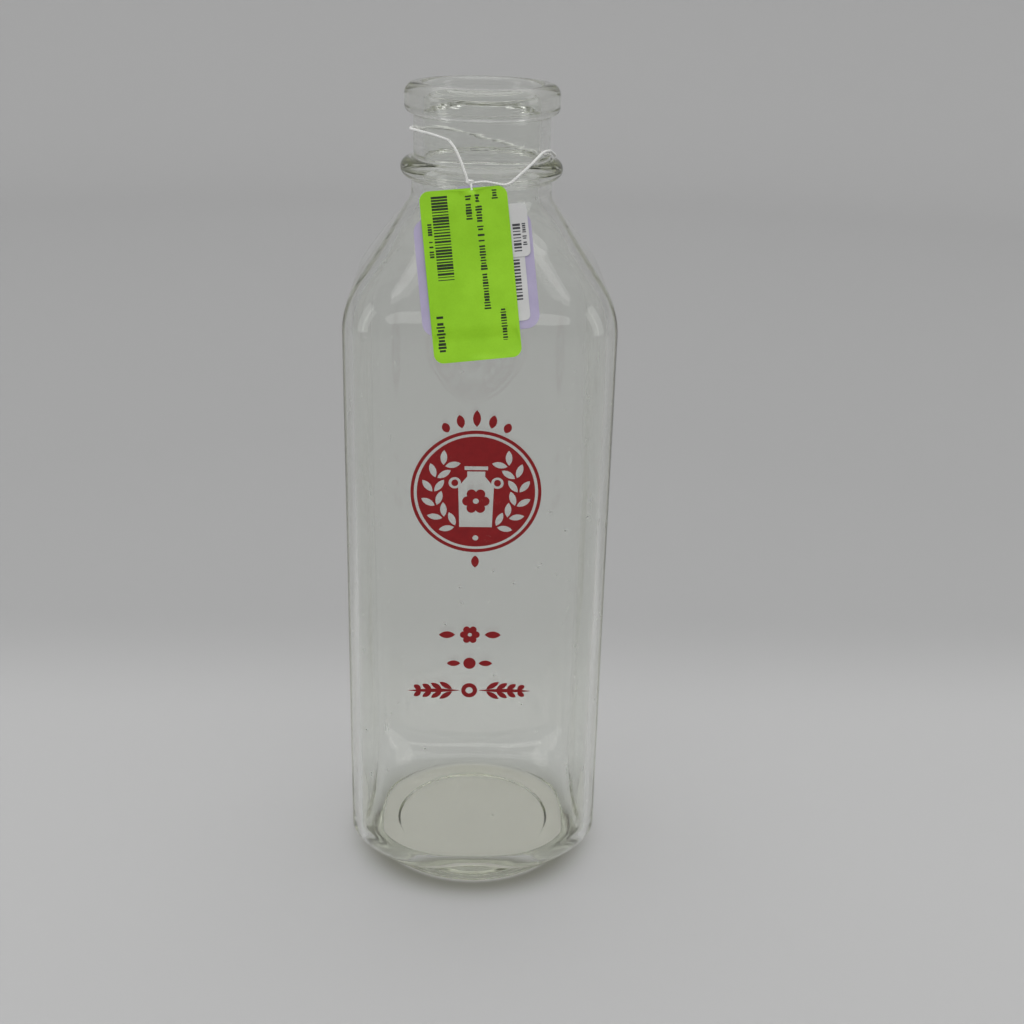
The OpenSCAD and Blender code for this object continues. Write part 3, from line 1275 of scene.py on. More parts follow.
class ThreadTree:
    """A geometry-node tree that spins a plied thread along a curve."""

    PLIES = 3
    SIDES = 18
    INPUTS = {
        "Diameter": ("NodeSocketFloat", 0.9 * MM),
        "Ply Depth": ("NodeSocketFloat", 0.16),
        "Lay Length": ("NodeSocketFloat", 2.6 * MM),
        "Step": ("NodeSocketFloat", 0.3 * MM),
    }

    def __init__(self, material: bpy.types.Material) -> None:
        """Build the tree with the thread's material at its end.

        Args:
            material: the thread's finish.
        """
        self.tree = bpy.data.node_groups.new("plied_thread", "GeometryNodeTree")
        face = self.tree.interface
        face.new_socket("Curve", in_out="INPUT", socket_type="NodeSocketGeometry")
        for name, (kind, default) in self.INPUTS.items():
            face.new_socket(name, in_out="INPUT", socket_type=kind).default_value = default
        face.new_socket("Thread", in_out="OUTPUT", socket_type="NodeSocketGeometry")
        given = add_node(self.tree, "NodeGroupInput").outputs
        path = add_node(
            self.tree,
            "GeometryNodeResampleCurve",
            settings={"mode": "LENGTH"},
            inputs={"Curve": given["Curve"], "Length": given["Step"]},
        )
        along = add_node(self.tree, "GeometryNodeSplineParameter")
        turns = add_node(
            self.tree,
            "ShaderNodeMath",
            settings={"operation": "DIVIDE"},
            inputs={0: along.outputs["Length"], 1: given["Lay Length"]},
        )
        tilt = add_node(
            self.tree,
            "ShaderNodeMath",
            settings={"operation": "MULTIPLY"},
            inputs={0: turns.outputs[0], 1: math.tau},
        )
        spun = add_node(
            self.tree,
            "GeometryNodeSetCurveTilt",
            inputs={"Curve": path.outputs[0], "Tilt": tilt.outputs[0]},
        )
        radius = add_node(
            self.tree,
            "ShaderNodeMath",
            settings={"operation": "MULTIPLY"},
            inputs={0: given["Diameter"], 1: 0.5},
        )
        ring = add_node(
            self.tree,
            "GeometryNodeCurvePrimitiveCircle",
            inputs={"Resolution": self.SIDES, "Radius": radius.outputs[0]},
        )
        round_the_ring = add_node(self.tree, "GeometryNodeSplineParameter")
        wave = round_the_ring.outputs["Factor"]
        for operation, *values in (
            ("MULTIPLY", self.PLIES * math.tau),
            ("COSINE",),
            ("SUBTRACT", 1.0),
            ("MULTIPLY_ADD", given["Ply Depth"], 1.0),
        ):
            wave = add_node(
                self.tree,
                "ShaderNodeMath",
                settings={"operation": operation},
                inputs={0: wave, **dict(enumerate(values, 1))},
            ).outputs[0]
        place = add_node(self.tree, "GeometryNodeInputPosition")
        scaled = add_node(
            self.tree,
            "ShaderNodeVectorMath",
            settings={"operation": "SCALE"},
            inputs={0: place.outputs[0], "Scale": wave},
        )
        section = add_node(
            self.tree,
            "GeometryNodeSetPosition",
            inputs={"Geometry": ring.outputs[0], "Position": scaled.outputs[0]},
        )
        swept = add_node(
            self.tree,
            "GeometryNodeCurveToMesh",
            inputs={
                "Curve": spun.outputs[0],
                "Profile Curve": section.outputs[0],
                "Fill Caps": True,
            },
        )
        real = add_node(self.tree, "GeometryNodeRealizeInstances", inputs={0: swept.outputs[0]})
        smooth = add_node(self.tree, "GeometryNodeSetShadeSmooth", inputs={0: real.outputs[0]})
        dressed = add_node(
            self.tree,
            "GeometryNodeSetMaterial",
            inputs={0: smooth.outputs[0], "Material": material},
        )
        add_node(self.tree, "NodeGroupOutput", inputs={0: dressed.outputs[0]})

    def spin(
        self,
        name: str,
        points_mm: Sequence[Vector],
        values: dict[str, float] | None = None,
        closed: bool = False,
    ) -> bpy.types.Object:
        """Spin a thread along a line of points.

        Args:
            name: the piece's name.
            points_mm: the points of the thread's middle, in millimetres.
            values: the tree's inputs that differ from their defaults, by name, in metres.
            closed: whether the thread runs back into itself.

        Returns:
            The thread as a plain mesh.
        """
        curve = bpy.data.curves.new(name, "CURVE")
        curve.dimensions = "3D"
        spline = curve.splines.new("POLY")
        spline.points.add(len(points_mm) - 1)
        for knot, point in zip(spline.points, points_mm):
            knot.co = (*(point * MM), 1.0)
        spline.use_cyclic_u = closed
        source = bpy.data.objects.new(f"{name}_line", curve)
        bpy.context.scene.collection.objects.link(source)
        mesh = grow(source, self.tree, values or {})
        mesh.name = name
        return link_mesh(name, mesh)


@dataclass
class TagThread:
    """The cotton thread: a loop round the neck, two legs over the bead, the knot and the hitch."""

    diameter: float = 0.9
    loop_route: tuple[Point3, ...] = (
        (-9.8, -19.35, 248.0), (-14.5, -16.2, 249.1), (-19.1, -10.2, 249.4), (-21.6, -1.3, 248.9),
        (-19.6, 9.4, 248.0), (-12.0, 18.3, 246.7), (-3.8, 21.4, 244.8), (6.0, 20.8, 242.8),
        (14.0, 16.6, 241.5), (20.1, 8.4, 241.4), (22.3, -0.7, 241.5), (20.3, -8.55, 244.0),
    )
    legs_route: tuple[Point3, ...] = (
        (-9.65, -19.5, 247.9), (-7.9, -22.0, 245.9), (-6.2, -24.2, 242.7), (-4.9, -25.6, 239.4),
        (-3.6, -26.2, 237.1), (1.0, -26.2, 237.4), (6.8, -26.4, 236.7), (10.4, -24.6, 238.9),
        (14.4, -20.6, 241.9), (17.9, -14.8, 244.3), (20.3, -8.5, 244.0),
    )
    route_steps: int = 8
    knot_at: int = 4
    knot_r: float = 0.5
    knot_shape: Point3 = (0.62, 0.5, 0.5)
    knot_steps: int = 72
    hitch_diameter: float = 0.72

    def build(self, tag: HangTag) -> None:
        """Args:
            tag: the tag that hangs on it.
        """
        thread = ThreadTree(CottonThread().material())
        loop_line = smooth_route(self.loop_route, self.route_steps)
        legs_line = smooth_route(self.legs_route, self.route_steps)
        knot_line = self.knot_line(Vector(self.legs_route[self.knot_at]))
        loop = thread.spin("thread_loop", loop_line)
        legs = thread.spin("thread_legs", legs_line)
        knot = thread.spin("thread_knot", knot_line, closed=True)
        thinner = {"Diameter": self.hitch_diameter * MM}
        hitch = thread.spin("thread_hitch", tag.hitch_line(), thinner)
        for piece, body, node in (
            (loop, "neck_loop", "string_loop"),
            (legs, "hanging_legs", "string_legs"),
            (knot, "hanging_legs", "string_knot"),
            (hitch, "tag", "string_hitch"),
        ):
            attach(piece, body)
            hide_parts(node)
            report(piece)

    def knot_line(self, centre: Vector) -> list[Vector]:
        """A closed overhand knot about a point.

        Args:
            centre: the knot's middle.

        Returns:
            The line.
        """
        line = []
        wide, deep, high = self.knot_shape
        for i in range(self.knot_steps):
            t = math.tau * i / self.knot_steps
            x = math.sin(t) + 2 * math.sin(2 * t)
            y = math.cos(t) - 2 * math.cos(2 * t)
            turn = Vector((wide * x, deep * math.sin(3 * t), high * y))
            line.append(centre + self.knot_r * turn)
        return line


# -------------------------------------------------------------------------------------- tag


class Mark(Enum):
    """What a printed row looks like."""

    BARS = "bars"
    WORDS = "words"


@dataclass(frozen=True)
class PrintedRow:
    """A row of generic marks that runs down a label.

    Attributes:
        left: left edge of the row, from the sheet's left edge.
        top: its upper end, below the sheet's top.
        width: how far the marks reach to the right.
        length: how far the row runs down.
        count: how many marks it has.
        mark: whether they are bars or words.
        seed: which of the endless random rows it is.
    """

    left: float
    top: float
    width: float
    length: float
    count: int
    mark: Mark
    seed: int


@dataclass(frozen=True)
class Sheet:
    """One layer of the tag: a rounded rectangle at its own height above the card's mid plane."""

    name: str
    node: str
    slot: str
    left: float
    bottom: float
    width: float
    height: float
    corner: float
    back: float
    thickness: float

    def outline(self) -> list[Point2]:
        """The sheet's edge, counter-clockwise.

        Returns:
            The points of the edge.
        """
        right, top, r = self.left + self.width, self.bottom + self.height, self.corner
        return (
            arc(right - r, self.bottom + r, r, -90, 0, 10)
            + arc(right - r, top - r, r, 0, 90, 10)
            + arc(self.left + r, top - r, r, 90, 180, 10)
            + arc(self.left + r, self.bottom + r, r, 180, 270, 10)
        )


@dataclass
class HangTag:
    """The lavender card, its two white labels and the green price label, with their print.

    The fields are the tag's sizes in millimetres, then how far and where its sheets stray from
    flat. A pair such as wave_top gives where a change starts and over what length it runs.
    """

    bottle: GlassBottle
    pivot: Vector
    roll_deg: float = 6.0
    string_d: float = 0.9
    pivot_gap: float = 0.5
    hitch_gap: float = 0.42
    card_t: float = 0.4
    label_t: float = 0.15
    shoulder_gap: float = 0.3
    card_w: float = 34.0
    card_h: float = 34.0
    card_corner: float = 4.0
    card_middle: float = -0.5
    tab_w: float = 9.0
    tab_h: float = 8.4
    tab_corner: float = 2.6
    hole_d: float = 3.0
    hole_margin: float = 1.1
    white_w: float = 25.0
    card_bow: float = 0.0011
    card_wave: float = 0.25
    wave_top: Point2 = (4.0, 6.0)
    wave_run: Point2 = (6.0, 11.0)
    hump_h: float = 0.55
    hump_u: float = 0.1
    hump_spread: Point2 = (2.2, 5.0)
    step_down: float = 0.42
    step_run: Point2 = (0.4, 1.2)
    curl_h: float = 1.3
    curl_down: Point2 = (46.0, 9.0)
    curl_across: Point2 = (4.0, 16.0)
    grid: float = 1.6

    @property
    def tab_top(self) -> float:
        """Top of the tab, measured from the pivot."""
        return -self.string_d / 2 - self.pivot_gap

    @property
    def card_top(self) -> float:
        """Top of the card's shoulders."""
        return self.tab_top - self.tab_h

    @property
    def hole_y(self) -> float:
        """Height of the hole's middle."""
        return self.tab_top - self.hole_margin - self.hole_d / 2

    @property
    def lean(self) -> float:
        """The tag's lean, from its touch on the bead and on the shoulder, in radians.

        Returns:
            The angle, in radians.
        """
        cx, cz = self.bottle.shoulder_centre
        upper = self.bottle.bead_h / 2 + self.string_d
        lower = self.bottle.shoulder_r + self.shoulder_gap + self.card_t / 2
        dx, dz = self.bottle.bead_ring_r - cx, self.bottle.bead_z - cz
        return math.asin((lower - upper) / math.hypot(dx, dz)) - math.atan2(dx, dz)

    def place(self, u: float, v: float, w: float) -> Vector:
        """Turn a place on the tag into one in the frame, in millimetres.

        Args:
            u: to the right of the pivot.
            v: above it.
            w: out from the card's mid plane.

        Returns:
            The point in the frame.
        """
        roll = math.radians(self.roll_deg)
        right = u * math.cos(roll) - v * math.sin(roll)
        up = u * math.sin(roll) + v * math.cos(roll)
        sin, cos = math.sin(self.lean), math.cos(self.lean)
        return self.pivot + Vector((right, up * sin - w * cos, up * cos + w * sin))

    def bow(self, u: float, v: float) -> float:
        """How far the stack of sheets bows out from flat at a place on it.

        Args:
            u: place across the tag.
            v: place along it.

        Returns:
            The height, in millimetres.
        """
        across = self.card_bow * (u - self.card_middle) ** 2
        (top, grown), (shift, run) = self.wave_top, self.wave_run
        return across + self.card_wave * math.sin((v + shift) / run) * ease((-v - top) / grown)

    def label_lift(self, u: float, v: float) -> float:
        """How far the price label stands off what lies under it.

        It humps over the thread in the hole, drops where the card ends under it, and its free
        lower corner curls.

        Args:
            u: place across the tag.
            v: place along it.

        Returns:
            The height, in millimetres.
        """
        across, along = self.hump_spread
        away = -((u - self.hump_u) ** 2) / across - (v - self.hole_y) ** 2 / along
        start, run = self.step_run
        below = ease((self.card_top - self.card_h - v + start) / run)
        (down, down_run), (side, side_run) = self.curl_down, self.curl_across
        curl = self.curl_h * ease((-v - down) / down_run) * ease((u + side) / side_run)
        return self.hump_h * math.exp(away) - self.step_down * below + curl * below

    def hitch_line(self) -> list[Vector]:
        """The thread's way down behind the card, through the hole and up again in front.

        Returns:
            The line.
        """
        out = self.card_t / 2 + self.hitch_gap
        route = (
            (-0.35, -0.35, -0.3), (-0.3, -1.4, -out), (-0.1, -2.6, -out),
            (0.1, self.hole_y - 0.3, -0.2), (0.25, -2.9, out), (0.3, -1.6, out), (0.3, -0.5, 0.35),
        )
        return smooth_route([tuple(self.place(*p)) for p in route], 6)

    def slab(
        self,
        name: str,
        outline: Sequence[Point2],
        hole: Sequence[Point2],
        back: float,
        thickness: float,
        lift: Callable[[float, float], float],
    ) -> bpy.types.Object:
        """Make a thin sheet that follows the tag's bow.

        Args:
            name: the piece's name.
            outline: its edge, counter-clockwise.
            hole: the edge of a hole, or nothing.
            back: height of its back above the card's mid plane.
            thickness: its thickness.
            lift: how far a place on it stands out further.

        Returns:
            The sheet as a closed mesh.
        """
        flat, triangles = self.triangles(outline, hole)
        form = bmesh.new()
        for w in (back, back + thickness):
            for p in flat:
                height = w + self.bow(p.x, p.y) + lift(p.x, p.y)
                form.verts.new(self.place(p.x, p.y, height) * MM)
        form.verts.ensure_lookup_table()
        count = len(flat)
        for a, b, c in triangles:
            form.faces.new([form.verts[i] for i in (c, b, a)])
            form.faces.new([form.verts[i + count] for i in (a, b, c)])
        sides = [side for a, b, c in triangles for side in ((a, b), (b, c), (c, a))]
        shared = set(sides)
        for a, b in sides:
            if (b, a) not in shared:
                form.faces.new([form.verts[i] for i in (a, b, b + count, a + count)])
        loose = [v for v in form.verts if not v.link_faces]
        bmesh.ops.delete(form, geom=loose, context="VERTS")
        bmesh.ops.recalc_face_normals(form, faces=form.faces)
        for face in form.faces:
            face.smooth = len(face.verts) == 3
        for side in form.edges:
            side.smooth = all(len(f.verts) == 3 for f in side.link_faces)
        return bmesh_object(name, form)

    def triangles(
        self, outline: Sequence[Point2], hole: Sequence[Point2]
    ) -> tuple[list[Vector], list[list[int]]]:
        """Fill a flat outline, less its hole, with triangles on an even grid.

        Args:
            outline: the edge, counter-clockwise.
            hole: the edge of a hole, or nothing.

        Returns:
            The points, and each triangle's three point numbers.
        """
        edge = [Vector(p) for p in outline]
        rim = [Vector(p) for p in hole]

        def on_sheet(point: Vector) -> bool:
            """Whether a point lies on the sheet and not in its hole."""
            return self.inside(point, edge) and not (rim and self.inside(point, rim))

        left, right = min(p[0] for p in outline), max(p[0] for p in outline)
        low, high = min(p[1] for p in outline), max(p[1] for p in outline)
        columns = max(2, round((right - left) / self.grid))
        rows = max(2, round((high - low) / self.grid))
        inner = [
            Vector((
                left + (right - left) * (i + 0.5) / columns, low + (high - low) * (j + 0.5) / rows
            ))
            for i in range(columns)
            for j in range(rows)
        ]
        n, m = len(edge), len(rim)
        links = [(i, (i + 1) % n) for i in range(n)] + [(n + i, n + (i + 1) % m) for i in range(m)]
        given = [*edge, *rim, *(p for p in inner if on_sheet(p))]
        flat, _, triangles, *_ = delaunay_2d_cdt(given, links, [], 1, 1e-5)
        kept = []
        for triangle in triangles:
            middle = sum((flat[i] for i in triangle), Vector((0, 0))) / 3
            if on_sheet(middle):
                kept.append(list(triangle))
        return flat, kept

    @staticmethod
    def inside(point: Vector, edge: Sequence[Vector]) -> bool:
        """Whether a point lies inside a closed edge.

        Args:
            point: the point.
            edge: the outline's corners.

        Returns:
            Whether it does.
        """
        within = False
        for a, b in zip(edge, [*edge[1:], edge[0]]):
            if (a.y > point.y) != (b.y > point.y):
                if point.x < a.x + (b.x - a.x) * (point.y - a.y) / (b.y - a.y):
                    within = not within
        return within

    def card_outline(self) -> list[Point2]:
        """The card's edge with its tab, counter-clockwise from the lower right corner.

        Returns:
            The points of the edge.
        """
        half, r, mid = self.card_w / 2, self.card_corner, self.card_middle
        low, top = self.card_top - self.card_h, self.card_top
        tab, tr = self.tab_w / 2, self.tab_corner
        return (
            arc(mid + half - r, low + r, r, -90, 0, 10)
            + arc(mid + half - r, top - r, r, 0, 78, 9)
            + arc(mid + tab - tr, self.tab_top - tr, tr, 20, 90, 8)
            + arc(mid - tab + tr, self.tab_top - tr, tr, 90, 160, 8)
            + arc(mid - half + r, top - r, r, 102, 180, 9)
            + arc(mid - half + r, low + r, r, 180, 270, 10)
        )

    def sheets(self) -> list[Sheet]:
        """The three labels, from the lowest to the top one.

        Returns:
            The labels.
        """
        white_w = self.white_w
        layers = (  # node, slot, left, bottom, width, height, corner
            ("white_label_lower", "white_paper", 13.8 - white_w, -41.0, white_w, 21.5, 1.6),
            ("white_label_upper", "white_paper", 15.6 - white_w, -22.6, white_w, 15.4, 1.6),
            ("price_label", "green_paper", -15.0, -51.3, 25.4, 49.6, 2.8),
        )
        return [
            Sheet(
                f"{node}_paper", node, slot, left, bottom, width, height, corner,
                back=self.card_t / 2 + layer * self.label_t, thickness=self.label_t,
            )
            for layer, (node, slot, left, bottom, width, height, corner) in enumerate(layers)
        ]

    @staticmethod
    def flat(u: float, v: float) -> float:
        """The lift of a sheet that lies flat on the one below."""
        return 0.0

    def build(self) -> None:
        """Make and dress the card, the labels and their print."""
        card_stock = PaperStock("lavender_tag_card", "#B5ADC8", "#A8A0BD", 0.62)
        white = PaperStock("white_label_paper", "#CFCFCE", "#C4C4C3", 0.5)
        green = PaperStock("green_label_paper", "#99D42A", "#8CC61E", 0.42)
        papers = {"white_paper": white.material(), "green_paper": green.material()}
        hole = arc(0, self.hole_y, self.hole_d / 2, 0, 345, 23)
        card = self.slab(
            "tag_card_stock", self.card_outline(), hole, -self.card_t / 2, self.card_t, self.flat
        )
        dress(card, card_stock.material())
        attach(card, "tag")
        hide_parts("tag_card")
        report(card)
        lifts = {"price_label": self.label_lift}
        for sheet in self.sheets():
            lift = lifts.get(sheet.node, self.flat)
            piece = self.slab(sheet.name, sheet.outline(), (), sheet.back, sheet.thickness, lift)
            dress(piece, papers[sheet.slot])
            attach(piece, "tag")
            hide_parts(sheet.node)
            report(piece)
        self.build_print()

    def build_print(self) -> None:
        """Print rows of bars and short strokes on the labels, which spell nothing."""
        tree = PrintTree()
        on_green = ThermalInk("black_print_on_green", "#0F1A0A", "#26341C").material()
        on_white = ThermalInk("black_print_on_white", "#2A2A2E", "#44444A").material()
        lower, upper, price = self.sheets()
        layout = (
            ("price_label_print", price, self.label_lift, on_green, (
                PrintedRow(3.3, 2.0, 4.7, 24.6, 29, Mark.BARS, 3),
                PrintedRow(1.5, 9.6, 1.4, 10.0, 14, Mark.WORDS, 11),
                PrintedRow(15.8, 2.3, 2.0, 34.2, 42, Mark.WORDS, 5),
                PrintedRow(12.9, 2.4, 2.0, 7.2, 9, Mark.WORDS, 8),
                PrintedRow(20.8, 1.2, 1.8, 3.0, 4, Mark.WORDS, 2),
                PrintedRow(20.2, 35.6, 1.8, 9.6, 12, Mark.WORDS, 9),
                PrintedRow(1.4, 36.4, 2.6, 10.6, 11, Mark.WORDS, 4),
            )),
            ("white_label_upper_print", upper, self.flat, on_white, (
                PrintedRow(20.4, 6.2, 2.2, 8.4, 9, Mark.BARS, 21),
                PrintedRow(23.0, 6.0, 1.3, 7.2, 12, Mark.WORDS, 23),
            )),
            ("white_label_lower_print", lower, self.flat, on_white, (
                PrintedRow(21.2, 4.0, 2.2, 12.2, 13, Mark.BARS, 22),
            )),
        )
        for name, sheet, lift, ink, rows in layout:
            height = sheet.back + sheet.thickness
            top = sheet.bottom + sheet.height

            def settle(p: Vector) -> Vector:
                """Lay a printed point on its sheet."""
                u, v = sheet.left + p.x, top + p.y
                return self.place(u, v, height + p.z + self.bow(u, v) + lift(u, v))

            piece = tree.print_rows(name, rows, ink, settle)
            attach(piece, "tag")
            report(piece)


class PrintTree:
    """A geometry-node tree that sets a row of printed marks of uneven size."""

    INPUTS = {
        "Length": ("NodeSocketFloat", 20.0),
        "Width": ("NodeSocketFloat", 2.0),
        "Count": ("NodeSocketInt", 12),
        "Least Fill": ("NodeSocketFloat", 0.25),
        "Most Fill": ("NodeSocketFloat", 0.8),
        "Least Height": ("NodeSocketFloat", 1.0),
        "Kept Share": ("NodeSocketFloat", 1.0),
        "Depth": ("NodeSocketFloat", 0.02),
        "Seed": ("NodeSocketInt", 0),
        "Ink": ("NodeSocketMaterial", None),
    }
    STYLES = {
        Mark.BARS: {"Least Fill": 0.25, "Most Fill": 0.85, "Least Height": 1.0, "Kept Share": 1.0},
        Mark.WORDS: {
            "Least Fill": 0.45, "Most Fill": 0.85, "Least Height": 0.65, "Kept Share": 0.84,
        },
    }

    def __init__(self) -> None:
        """Build the tree of the print, whose marks stand in a column below the start."""
        self.tree = bpy.data.node_groups.new("printed_row", "GeometryNodeTree")
        face = self.tree.interface
        face.new_socket("Sheet", in_out="INPUT", socket_type="NodeSocketGeometry")
        for name, (kind, default) in self.INPUTS.items():
            socket = face.new_socket(name, in_out="INPUT", socket_type=kind)
            if default is not None:
                socket.default_value = default
        face.new_socket("Print", in_out="OUTPUT", socket_type="NodeSocketGeometry")
        given = add_node(self.tree, "NodeGroupInput").outputs
        pitch = add_node(
            self.tree,
            "ShaderNodeMath",
            settings={"operation": "DIVIDE"},
            inputs={0: given["Length"], 1: given["Count"]},
        ).outputs[0]
        down = add_node(
            self.tree,
            "ShaderNodeMath",
            settings={"operation": "MULTIPLY"},
            inputs={0: pitch, 1: -1.0},
        )
        step = add_node(self.tree, "ShaderNodeCombineXYZ", inputs={"Y": down.outputs[0]})
        line = add_node(
            self.tree,
            "GeometryNodeMeshLine",
            inputs={"Count": given["Count"], "Offset": step.outputs[0]},
        )
        height_seed, kept_seed = (
            add_node(
                self.tree,
                "ShaderNodeMath",
                settings={"operation": "ADD"},
                inputs={0: given["Seed"], 1: shift},
            ).outputs[0]
            for shift in (50.0, 90.0)
        )
        fill = add_node(
            self.tree,
            "FunctionNodeRandomValue",
            settings={"data_type": "FLOAT"},
            inputs={2: given["Least Fill"], 3: given["Most Fill"], "Seed": given["Seed"]},
        )
        height = add_node(
            self.tree,
            "FunctionNodeRandomValue",
            settings={"data_type": "FLOAT"},
            inputs={2: given["Least Height"], 3: 1.0, "Seed": height_seed},
        )
        across, along = (
            add_node(
                self.tree,
                "ShaderNodeMath",
                settings={"operation": "MULTIPLY"},
                inputs={0: share.outputs[1], 1: whole},
            )
            for share, whole in ((height, given["Width"]), (fill, pitch))
        )
        size = add_node(
            self.tree,
            "ShaderNodeCombineXYZ",
            inputs={"X": across.outputs[0], "Y": along.outputs[0], "Z": given["Depth"]},
        )
        mark = add_node(self.tree, "GeometryNodeMeshCube", inputs={"Size": (1.0, 1.0, 1.0)})
        kept = add_node(
            self.tree,
            "FunctionNodeRandomValue",
            settings={"data_type": "BOOLEAN"},
            inputs={"Probability": given["Kept Share"], "Seed": kept_seed},
        )
        placed = add_node(
            self.tree,
            "GeometryNodeInstanceOnPoints",
            inputs={
                "Points": line.outputs[0],
                "Selection": kept.outputs[3],
                "Instance": mark.outputs[0],
                "Scale": size.outputs[0],
            },
        )
        real = add_node(self.tree, "GeometryNodeRealizeInstances", inputs={0: placed.outputs[0]})
        inked = add_node(
            self.tree,
            "GeometryNodeSetMaterial",
            inputs={0: real.outputs[0], "Material": given["Ink"]},
        )
        add_node(self.tree, "NodeGroupOutput", inputs={0: inked.outputs[0]})

    def print_rows(
        self,
        name: str,
        rows: Sequence[PrintedRow],
        ink: bpy.types.Material,
        settle: Callable[[Vector], Vector],
    ) -> bpy.types.Object:
        """Print rows of marks and lay them on a sheet as one piece.

        Args:
            name: the piece's name.
            rows: the rows to print.
            ink: their material.
            settle: takes a flat point on the tag to its place in the frame.

        Returns:
            The print as a plain mesh.
        """
        form = bmesh.new()
        for row in rows:
            values = {
                "Length": row.length, "Width": row.width, "Count": row.count, "Seed": row.seed,
                "Ink": ink, **self.STYLES[row.mark],
            }
            source = mesh_object(f"{name}_row", np.zeros((1, 3)), [])
            mesh = grow(source, self.tree, values)
            mesh.transform(Matrix.Translation((row.left + row.width / 2, -row.top, 0)))
            form.from_mesh(mesh)
            bpy.data.meshes.remove(mesh)
        for vert in form.verts:
            vert.co = settle(vert.co) * MM
        bmesh.ops.recalc_face_normals(form, faces=form.faces)
        piece = bmesh_object(name, form)
        piece.data.materials.append(ink)
        return piece


# ----------------------------------------------------------------------------------- studio


@dataclass(frozen=True)
class BackdropPaper:
    """Matt backdrop paper.

    It is pale round the bottle, a little deeper beyond it and greyer behind the camera. Under the
    glass, which throws light down, it is painted lighter, and a painted shadow lies before the
    foot.
    """

    name: str = "backdrop_paper"
    near: str = "#B6B6B6"
    far: str = "#A6A6A6"
    wall: str = "#B9B9B9"
    front: str = "#A8A8A8"
    # painted pool of light: the paper under the glass is drawn lighter, in place of the light that
    # the glass throws down
    under: str = "#BFBDB8"
    # painted shadow: the contact shade round the foot
    shade: str = "#87877F"
    turn_mm: Point2 = (70.0, 178.0)
    front_mm: Point2 = (-500.0, -1000.0)
    shade_in_mm: Point2 = (33.2, 35.8)
    shade_out_mm: Point2 = (35.5, 56.0)
    shade_power: float = 3.2
    shade_y_mm: Point2 = (36.0, -12.0)
    rise_mm: Point2 = (450.0, 1900.0)

    def material(self) -> bpy.types.Material:
        """Build the paper.

        Returns:
            The material.
        """
        material, tree = new_material(self.name)
        place = add_node(tree, "ShaderNodeTexCoord").outputs["Object"]
        axes = add_node(tree, "ShaderNodeSeparateXYZ", inputs={0: place})
        reach = add_node(
            tree, "ShaderNodeVectorMath", settings={"operation": "LENGTH"}, inputs={0: place}
        ).outputs["Value"]
        beyond, rising, before, inner, outer, nearer = (
            add_node(
                tree,
                "ShaderNodeMapRange",
                settings={"interpolation_type": easing},
                inputs={"Value": value, "From Min": start * MM, "From Max": end * MM},
            )
            for value, (start, end), easing in (
                (axes.outputs["Y"], self.turn_mm, "SMOOTHSTEP"),
                (reach, self.rise_mm, "LINEAR"),
                (axes.outputs["Y"], self.front_mm, "SMOOTHSTEP"),
                (reach, self.shade_in_mm, "SMOOTHSTEP"),
                (reach, self.shade_out_mm[::-1], "SMOOTHSTEP"),
                (axes.outputs["Y"], self.shade_y_mm, "LINEAR"),
            )
        )
        whole = linear(self.near)
        for share, tone in ((beyond, self.far), (rising, self.wall), (before, self.front)):
            whole = add_node(
                tree,
                "ShaderNodeMix",
                settings={"data_type": "RGBA"},
                inputs={0: share.outputs[0], 6: whole, 7: linear(tone)},
            ).outputs[2]
        # painted pool of light: inside the foot's ring the paper takes the lighter tone
        lit = add_node(
            tree,
            "ShaderNodeMix",
            settings={"data_type": "RGBA"},
            inputs={0: inner.outputs[0], 6: linear(self.under), 7: whole},
        )
        # painted contact shadow: a ring just outside the foot that fades outwards and dies out
        # towards the back
        fading = add_node(
            tree,
            "ShaderNodeMath",
            settings={"operation": "POWER"},
            inputs={0: outer.outputs[0], 1: self.shade_power},
        )
        ring = inner
        for share in (fading, nearer):
            ring = add_node(
                tree,
                "ShaderNodeMath",
                settings={"operation": "MULTIPLY"},
                inputs={0: ring.outputs[0], 1: share.outputs[0]},
            )
        resting = add_node(
            tree,
            "ShaderNodeMix",
            settings={"data_type": "RGBA"},
            inputs={0: ring.outputs[0], 6: lit.outputs[2], 7: linear(self.shade)},
        )
        shader = add_node(
            tree,
            "ShaderNodeBsdfPrincipled",
            inputs={"Base Color": resting.outputs[2], "Roughness": 0.9, "Specular IOR Level": 0.1},
        )
        finish_material(tree, shader)
        return material


